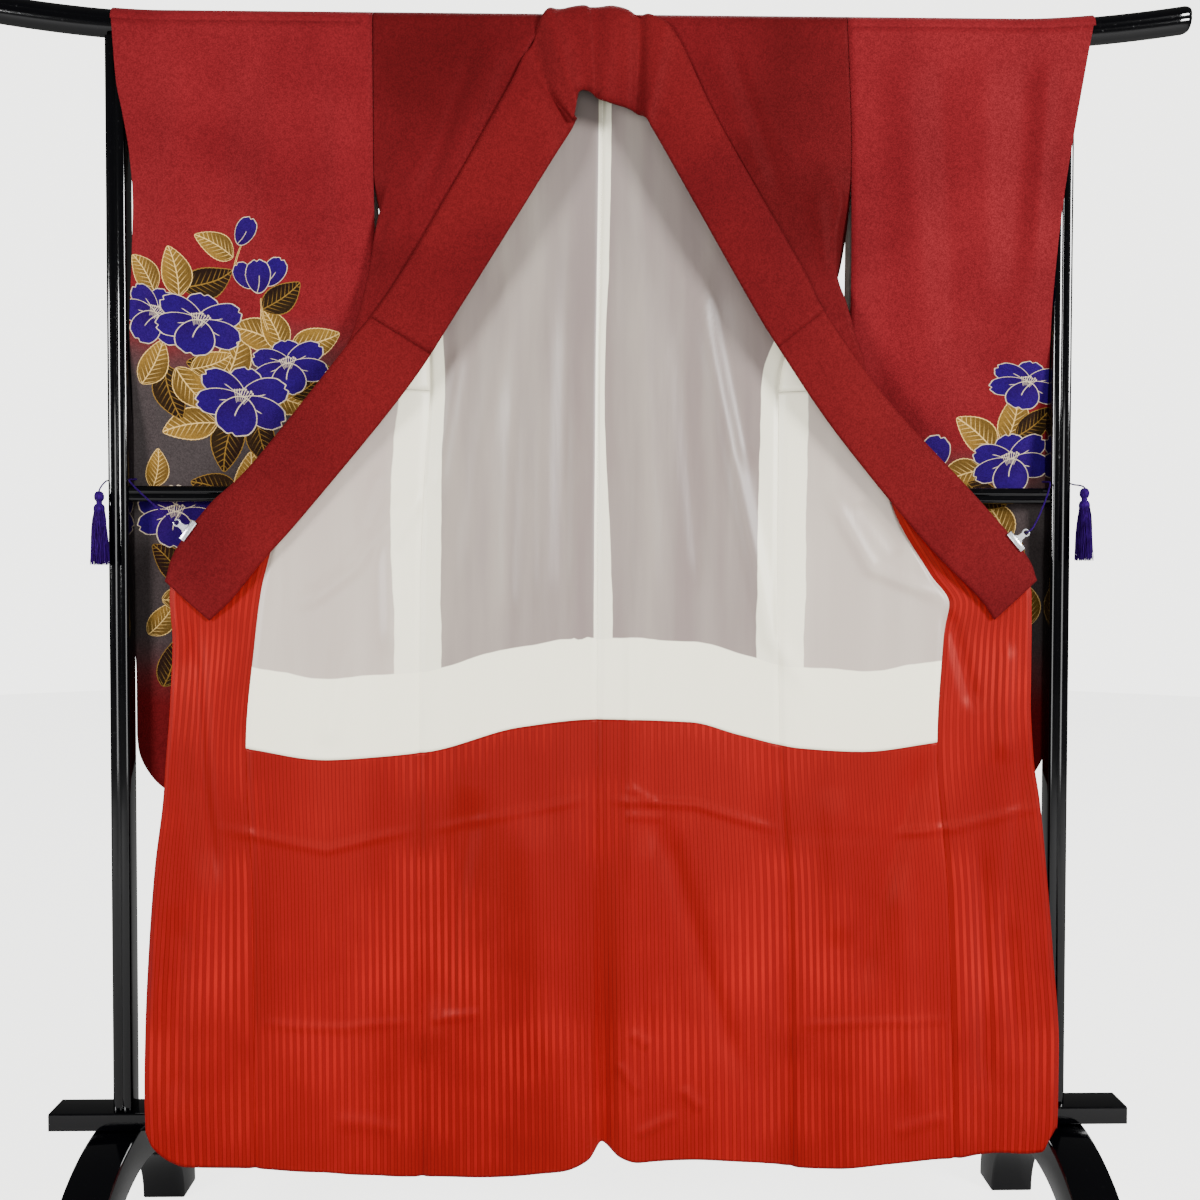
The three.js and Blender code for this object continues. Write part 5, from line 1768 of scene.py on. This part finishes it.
# ---- stand
@dataclass
class KimonoStand:
    """The black lacquer stand."""

    finishes: Finishes
    middle_rail_z: float = 1081.5
    middle_rail_size: float = 22
    board_half_length: float = 757
    board_depth: float = 50
    board_height: float = 25
    board_bottom: float = 193
    foot_inner_x: float = 631
    foot_width: float = 64
    foot_half_span: float = 220
    foot_ring: float = 56
    post_depth: float = 29

    def build(self) -> None:
        """Builds the top rail, posts, middle rail, board and feet."""
        self.top_rail()
        inner = POST_X - POST_WIDTH / 2
        board_top = self.board_bottom + self.board_height
        post_top = RAIL_CENTRE_Z - RAIL_HALF_HEIGHT + rail_rise(inner) - CONTACT_GAP
        for name, side in (("left", -1), ("right", 1)):
            bm = self.bar(POST_WIDTH, self.post_depth, post_top - board_top - CONTACT_GAP, 5, 3)
            shift = Vector((side * POST_X, 0, board_top + CONTACT_GAP)) * MM
            bmesh.ops.translate(bm, verts=bm.verts, vec=shift)
            self.lacquered(f"stand_post_{name}", bm, f"post_{name}")
            self.foot(name, side)
        size = self.middle_rail_size
        bm = self.bar(size, size, 2 * (inner - CONTACT_GAP), 5, 2.6)
        self.lay_across(bm, inner - CONTACT_GAP, self.middle_rail_z)
        self.lacquered("stand_middle_rail", bm, "middle_rail")
        bm = self.bar(self.board_height, self.board_depth, 2 * self.board_half_length, 2.5, 0)
        middle = self.board_bottom + self.board_height / 2
        self.lay_across(bm, self.board_half_length, middle)
        self.lacquered("stand_base_board", bm, "base_board")

    def lacquered(self, name: str, bm: Mesh, node: str) -> Piece:
        """Turns a mesh into a lacquered piece that stands for a CAD node."""
        bmesh.ops.recalc_face_normals(bm, faces=bm.faces)
        piece = new_object(name, bm)
        piece.data.set_sharp_from_angle(angle=math.radians(38))
        return dress(piece, "lacquer", (self.finishes.lacquer,), node)

    @staticmethod
    def lay_across(bm: Mesh, half_length: float, z: float) -> None:
        """Lays an upright bar along X, centred at a height."""
        turn = Matrix.Rotation(math.pi / 2, 3, "Y")
        bmesh.ops.rotate(bm, verts=bm.verts, cent=(0, 0, 0), matrix=turn)
        bmesh.ops.translate(bm, verts=bm.verts, vec=Vector((-half_length, 0, z)) * MM)

    @staticmethod
    def bar(width: float, depth: float, length: float, corner: float, groove: float) -> Mesh:
        """Builds an upright bar with rounded corners and, if asked, a groove on front and back.

        Args:
            width: Along X.
            depth: Along Y.
            length: Along Z, from 0.
            corner: Radius of the four long corners.
            groove: Half width of the groove, or 0.

        Returns:
            The mesh, in metres.
        """
        bm = bmesh.new()
        w, d = width / 2 * MM, depth / 2 * MM
        g, sunk = groove * MM, 0.0016
        front = [(-g, -d), (0, -d + sunk), (g, -d)] if groove else []
        rear = [(-x, -y) for x, y in front]
        outline = [(-w, -d), *front, (w, -d), (w, d), *rear, (-w, d)]
        bottom = bm.faces.new([bm.verts.new((x, y, 0)) for x, y in outline])
        push(bm, [bottom], (0, 0, length * MM))
        upright = [e for e in bm.edges if abs(e.verts[0].co.z - e.verts[1].co.z) > 1e-6]
        corners = [edge for edge in upright if abs(abs(edge.verts[0].co.x) - w) < 1e-6]
        lips = [edge for edge in upright if groove and abs(abs(edge.verts[0].co.x) - g) < 1e-6]
        soften(bm, corners, corner * MM, 5)
        if lips:
            soften(bm, lips, sunk, 3)
        return bm

    def top_rail(self) -> None:
        """Builds the oval top rail with its grooves and upturned tips."""
        around = 48
        outer = [600, 620, 640, 660, 680, 700, 720, 740, 760, 780, 800, 815, 828, 832, 835]
        stations = [-x for x in reversed(outer)] + [-300, 0, 300] + outer

        def place(turn: float, x: float) -> Vector:
            """Returns a point of the rail's surface."""
            angle = turn * math.tau
            tip = 1 - 0.14 * ease((abs(x) - 828) / 7) ** 2
            groove = 0.075 * math.exp(-((math.sin(angle) / 0.13) ** 2))
            y = RAIL_HALF_DEPTH * (1 - groove) * math.cos(angle) * tip
            z = RAIL_HALF_HEIGHT * math.sin(angle) * tip
            return Vector((x, y, RAIL_CENTRE_Z + rail_rise(x) + z))

        bm = bmesh.new()
        add_grid(bm, steps(around), stations, place, lambda u, v, _p: (u, v * MM))
        bmesh.ops.remove_doubles(bm, verts=bm.verts, dist=1e-6)
        bmesh.ops.holes_fill(bm, edges=bm.edges, sides=0)
        self.lacquered("stand_top_rail", bm, "top_rail")

    def foot(self, name: str, side: int) -> None:
        """Builds an arched foot: half a ring with softened edges, standing on its two ends."""
        height = self.board_bottom - CONTACT_GAP

        def place(t: float, in_to_out: float) -> Vector:
            """Returns a point of the arch's side."""
            angle = math.pi * (1 - t)
            inset = self.foot_ring * (1 - in_to_out)
            half_span = self.foot_half_span - inset
            return Vector((0, half_span * math.cos(angle), (height - inset) * math.sin(angle)))

        bm = bmesh.new()
        add_grid(bm, steps(44), [0, 1], place, lambda u, v, _p: (u, v))
        push(bm, list(bm.faces), (self.foot_width * MM, 0, 0))
        start = self.foot_inner_x if side > 0 else -self.foot_inner_x - self.foot_width
        bmesh.ops.translate(bm, verts=bm.verts, vec=(start * MM, 0, 0))
        bmesh.ops.recalc_face_normals(bm, faces=bm.faces)
        bm.normal_update()
        rims = [edge for edge in bm.edges if edge.is_manifold and edge.calc_face_angle() > 0.9]
        soften(bm, rims, 3 * MM, 4)
        self.lacquered(f"stand_foot_{name}", bm, f"foot_{name}")


# ---- clips, cords and tassels
@dataclass
class ClipSet:
    """A bulldog clip on the collar's edge, its cord round the post and the cord's tassel."""

    name: str
    side: int
    station: float
    head: tuple[float, float, float]
    collar: Collar
    finishes: Finishes
    clip_length: float = 30
    ring_x: float = 19
    ring_radius: float = 4.4
    wire_radius: float = 1.2
    cord_radius: float = 1.1
    tassel_length: float = 98
    strands: int = 190

    def frame(self) -> Matrix:
        """Returns the clip's own axes: x outward, y along the edge, z to the open side."""
        collar = self.collar
        t = self.station / collar.last
        origin, along = collar.seam.at(t), collar.seam.tangent(t)
        outward = collar.point(self.station, 0) - collar.point(self.station, 0.3)
        outward = (outward - along * outward.dot(along)).normalized()
        normal = outward.cross(along)
        if normal.y > 0:
            along, normal = -along, -normal
        axes = Matrix((outward, along, normal)).transposed().to_4x4()
        return Matrix.Translation(origin) @ axes

    def build(self) -> None:
        """Builds the clip, the cord and the tassel."""
        frame = self.frame()
        self.build_clip(frame)
        tassel = self.build_tassel()
        self.build_cord(frame)

    @staticmethod
    def box(bm: Mesh, low: Sequence[float], high: Sequence[float], bevel: float) -> None:
        """Adds a box with softened edges between two corners, in the clip's axes."""
        made = bmesh.ops.create_cube(bm, size=1.0)["verts"]
        size = [high[i] - low[i] for i in range(3)]
        bmesh.ops.scale(bm, verts=made, vec=size)
        bmesh.ops.translate(bm, verts=made, vec=[(high[i] + low[i]) / 2 for i in range(3)])
        edges = list({edge for vert in made for edge in vert.link_edges})
        soften(bm, edges, bevel, 2)

    def build_clip(self, frame: Matrix) -> None:
        """Builds the clip: two jaws, a spine, a waisted handle and a ring."""
        bm = bmesh.new()
        half = self.clip_length / 2
        self.box(bm, (-4.4, -half, 1.4), (3.6, half, 3.6), 0.8)
        self.box(bm, (-4.4, -half, -3.6), (3.6, half, -1.4), 0.8)
        self.box(bm, (1.2, -half, -3.6), (3.6, half, 3.6), 0.8)
        outline = ((3, -8), (8, -4), (16, -3.4), (16, 3.4), (8, 4), (3, 8))
        plate = bm.faces.new([bm.verts.new((x, y, -1.3)) for x, y in outline])
        push(bm, [plate], (0, 0, 2.6))
        start = bmesh.ops.create_circle(bm, segments=10, radius=self.wire_radius)["verts"]
        upright = Matrix.Rotation(math.pi / 2, 3, "X")
        bmesh.ops.rotate(bm, verts=start, cent=(0, 0, 0), matrix=upright)
        bmesh.ops.translate(bm, verts=start, vec=(self.ring_radius, 0, 0))
        ring_edges = list({edge for vert in start for edge in vert.link_edges})
        turn_full(bm, start + ring_edges, 32)
        reach = self.wire_radius + 0.05
        ring = [
            v for v in bm.verts
            if abs(v.co.z) < reach and abs(v.co.xy.length - self.ring_radius) < reach
            and not self.on_jaw(v)
        ]
        bmesh.ops.translate(bm, verts=ring, vec=(self.ring_x, 0, 0))
        bmesh.ops.recalc_face_normals(bm, faces=bm.faces)
        bmesh.ops.transform(bm, matrix=Matrix.Scale(MM, 4) @ frame, verts=bm.verts)
        piece = new_object(f"bulldog_clip_{self.name}", bm)
        piece.data.set_sharp_from_angle(angle=math.radians(40))
        dress(piece, "chrome", (self.finishes.chrome,), f"clip_{self.name}")

    @staticmethod
    def on_jaw(vert: bmesh.types.BMVert) -> bool:
        """Returns True if a vertex belongs to a flat part of the clip."""
        return any(len(edge.link_faces) == 2 and edge.calc_length() > 3 for edge in vert.link_edges)

    def build_cord(self, frame: Matrix) -> None:
        """Builds the cord from the ring round the post and on down inside its tassel."""
        side = self.side
        inner = side * (POST_X - POST_WIDTH / 2)
        through_ring = ((0, -4), (0, 0.5), (1.5, 5), (9, 6))
        route = [frame @ Vector((self.ring_x + out, 0, z)) for out, z in through_ring]
        route += [
            Vector((inner - side * 2.4, -15, 1099)),
            Vector((inner - side * 2.2, 4, 1102)),
            Vector((inner - side * 1.8, 14.5, 1103)),
            Vector((inner + side * 3, 18, 1104)),
            Vector((side * POST_X, 18.4, 1104)),
            Vector((side * (POST_X + 14), 16.5, 1103)),
            Vector((side * (POST_X + 16.6), 0, 1100)),
            Vector((side * (POST_X + 16), -16, 1097)),
        ]
        route += [Vector(self.head) + Vector((0, 0, z)) for z in (9.8, -12, -46)]
        path = Spline(route, centripetal=True)
        points = [path.at(t) * MM for t in steps(64)]
        data = bpy.data.curves.new(f"purple_cord_{self.name}", "CURVE")
        data.dimensions = "3D"
        data.bevel_depth = self.cord_radius * MM
        data.bevel_resolution = 4
        data.use_fill_caps = True
        line = data.splines.new("POLY")
        line.points.add(len(points) - 1)
        for spot, point in zip(line.points, points):
            spot.co = (*point, 1)
        cord = bpy.data.objects.new(f"purple_cord_{self.name}", data)
        bpy.context.scene.collection.objects.link(cord)
        dress(cord, "purple_silk", (self.finishes.silk,), f"cord_{self.name}")

    def build_tassel(self) -> Piece:
        """Builds the tassel: a turned knot and neck, and a skirt of loose strands."""
        bm = bmesh.new()
        profile = [
            (0.6, 9.2), (3, 9), (5.2, 7), (6.6, 3.2), (6.4, -1.2), (4.6, -4.2), (3.7, -5.6),
            (4.2, -6.6), (3.6, -7.8), (5.6, -9.2), (7.0, -11.6), (7.5, -15), (7.1, -19),
            (0.6, -19.4),
        ]
        verts = [bm.verts.new((r, 0, z)) for r, z in profile]
        edges = [bm.edges.new(pair) for pair in zip(verts, verts[1:])]
        turn_full(bm, verts + edges, 28)
        bmesh.ops.holes_fill(bm, edges=bm.edges, sides=0)
        for i in range(self.strands):
            self.add_strand(bm, i)
        bmesh.ops.recalc_face_normals(bm, faces=bm.faces)
        bmesh.ops.translate(bm, verts=bm.verts, vec=self.head)
        bmesh.ops.scale(bm, verts=bm.verts, vec=(MM, MM, MM))
        piece = new_object(f"purple_tassel_{self.name}", bm)
        return dress(piece, "purple_silk", (self.finishes.silk,), f"tassel_{self.name}")

    def add_strand(self, bm: Mesh, i: int) -> None:
        """Adds one strand of the skirt, placed by its number on a sunflower spiral."""
        part = math.sqrt((i + 0.5) / self.strands)
        angle = i * 2.39996
        wave = math.sin(i * 12.9898) * 0.5
        root, tip = 6.6 * part, 12.6 * part + 0.8 * wave
        drop = self.tassel_length - 26 + 3.0 * math.sin(i * 78.233)
        made = bmesh.ops.create_grid(bm, x_segments=3, y_segments=6, size=0.5)["verts"]
        for vert in made:
            t = 0.5 - vert.co.y
            around = (vert.co.x + 0.5) * math.tau
            out = mix(root, tip, t**0.6) + 0.5 * math.sin(6 * t + i)
            turned = angle + 0.12 * math.sin(3 * t + i)
            radius = 0.62 * (1 - 0.35 * t)
            vert.co = (
                out * math.cos(turned) + radius * math.cos(around),
                out * math.sin(turned) + radius * math.sin(around),
                -17 - drop * t,
            )
        bmesh.ops.remove_doubles(bm, verts=made, dist=1e-4)


# ---- camera, light and floor
@dataclass(frozen=True)
class Studio:
    """A pale floor, soft lights and the camera in front of the open kimono."""

    camera_place: tuple[float, float, float] = (-0.0213, -1.6944, 0.975)
    yaw: float = 0.0187
    pitch: float = 0.0242
    roll: float = 0.0015
    focal_pixels: float = 1203.0
    image_pixels: float = 1200.0
    wall_light: float = 3.65
    room_light: float = 0.6
    glossy_light: float = 0.1
    floor_light: float = 3.0

    def build(self) -> None:
        """Builds all of it."""
        self.build_camera()
        self.build_floor()
        self.build_lights()

    def build_camera(self) -> None:
        """Builds the camera from its place and its three turns."""
        data = bpy.data.cameras.new("Camera")
        data.sensor_width = 36
        data.lens = 36 * self.focal_pixels / self.image_pixels
        right = Vector((math.cos(self.yaw), -math.sin(self.yaw), 0))
        level = math.cos(self.pitch)
        forward = Vector(
            (math.sin(self.yaw) * level, math.cos(self.yaw) * level, -math.sin(self.pitch))
        )
        up = right.cross(forward)
        tilted = right * math.cos(self.roll) + up * math.sin(self.roll)
        upright = up * math.cos(self.roll) - right * math.sin(self.roll)
        camera = bpy.data.objects.new("Camera", data)
        turn = Matrix((tilted, upright, -forward)).transposed().to_4x4()
        camera.matrix_world = Matrix.Translation(self.camera_place) @ turn
        bpy.context.scene.collection.objects.link(camera)
        bpy.context.scene.camera = camera

    def build_floor(self) -> None:
        """Builds the floor."""
        bm = bmesh.new()
        bmesh.ops.create_circle(bm, cap_ends=True, segments=96, radius=9.0)
        floor = new_object("floor", bm)
        floor.location.z = -0.0005
        material, w, surface = new_material(
            "Pale floor", Roughness=0.9, Emission_Color=(1.0, 1.0, 0.97, 1.0)
        )
        place = w.node("TexCoord").outputs["Object"]
        tone = w.blend(w.noise(place, 1.5), colour("#8E8E8E"), colour("#969696"))
        w.feed(surface["Base Color"], tone)
        seen = w.node("LightPath").outputs["Is Camera Ray"]
        w.feed(surface["Emission Strength"], w.times(seen, self.floor_light))
        floor.data.materials.append(material)

    def build_lights(self) -> None:
        """Builds the soft lights and the pale surroundings."""
        middle = Vector((0, 0, 1.1))
        for name, place, size, power in (
            ("Key", (3.2, -2.9, 2.3), 1.2, 450.0),
            ("Fill", (-3.0, -2.9, 1.6), 1.1, 255.0),
            ("Front", (0.1, -2.7, 0.9), 1.3, 38.0),
            ("Back", (0.4, 2.3, 4.2), 2.0, 150.0),
        ):
            data = bpy.data.lights.new(name, "AREA")
            data.shape = "SQUARE"
            data.size = size
            data.energy = power
            light = bpy.data.objects.new(name, data)
            turn = (middle - Vector(place)).to_track_quat("-Z", "Y").to_matrix().to_4x4()
            light.matrix_world = Matrix.Translation(place) @ turn
            bpy.context.scene.collection.objects.link(light)
        world = bpy.data.worlds.new("Pale room")
        world.use_nodes = True
        w = Wires(world.node_tree)
        surroundings = world.node_tree.nodes["Background"]
        surroundings.inputs["Color"].default_value = (1.0, 1.0, 0.97, 1)
        # The wall behind is brighter than the room that lights the cloth, and gloss mirrors the
        # dark end of the room.
        path = w.node("LightPath")
        seen, gloss = path.outputs["Is Camera Ray"], path.outputs["Is Glossy Ray"]
        room = w.scaled(gloss, self.glossy_light - self.room_light, self.room_light)
        brightness = w.scaled(seen, self.wall_light - self.room_light, room)
        w.feed(surroundings.inputs["Strength"], brightness)
        bpy.context.scene.world = world


def main() -> None:
    """Builds the whole scene and notes its size."""
    logging.basicConfig(level=logging.INFO, format="%(name)s: %(message)s")
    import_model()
    Studio().build()
    finishes = Finishes()
    collar = Collar(finishes)
    for name, side, station, head in (
        ("left", -1, 1.45, (-677, -30, 1074)),
        ("right", 1, 18.75, (684, -30, 1082)),
    ):
        ClipSet(name, side, station, head, collar, finishes).build()
    KimonoStand(finishes).build()
    for half in (LEFT, RIGHT):
        BodyHalf(half, finishes).build()
    collar.build()
    Sleeve(
        LEFT, finishes,
        table("z x", (1529, -302.8), (1364, -300), (652, -299)),
        table(
            "z x",
            (1746, -661), (1640, -653), (1605, -646), (1546, -636), (1477, -631), (1390, -634),
            (1300, -641), (1212, -642.8), (1140, -646), (1074, -655), (960, -655), (880, -648),
            (820, -645), (652, -645),
        ),
        -655,
        ((-600, 26, 5), (-515, 34, -5), (-440, 30, 6), (-352, 26, -5)),
        creases(
            (24, 6.5, (-430, 1700), (-462, 1330)),
            (26, 5.5, (-560, 1710), (-588, 1330)),
            (18, -5.0, (-500, 1700), (-520, 1250)),
            (14, 5.5, (-352, 1690), (-345, 1300)),
        ),
    ).build()
    Sleeve(
        RIGHT, finishes,
        table("z x", (1529, 357.6), (1364, 358.5), (652, 356)),
        table(
            "z x",
            (1746, 697), (1588, 669), (1520, 658), (1423, 646), (1340, 641), (1257, 642.8),
            (1140, 646), (1077, 656), (820, 656), (735, 654), (652, 650),
        ),
        656,
        ((405, 26, -5), (470, 34, 6), (545, 30, -5), (605, 24, 5)),
        creases(
            (24, 6.5, (430, 1700), (456, 1300)),
            (18, -5.5, (482, 1700), (500, 1260)),
            (20, 6.0, (540, 1705), (548, 1330)),
            (18, -5.0, (600, 1700), (588, 1350)),
            (12, 4.5, (632, 1700), (612, 1400)),
        ),
    ).build()


if __name__ == "__main__":
    main()
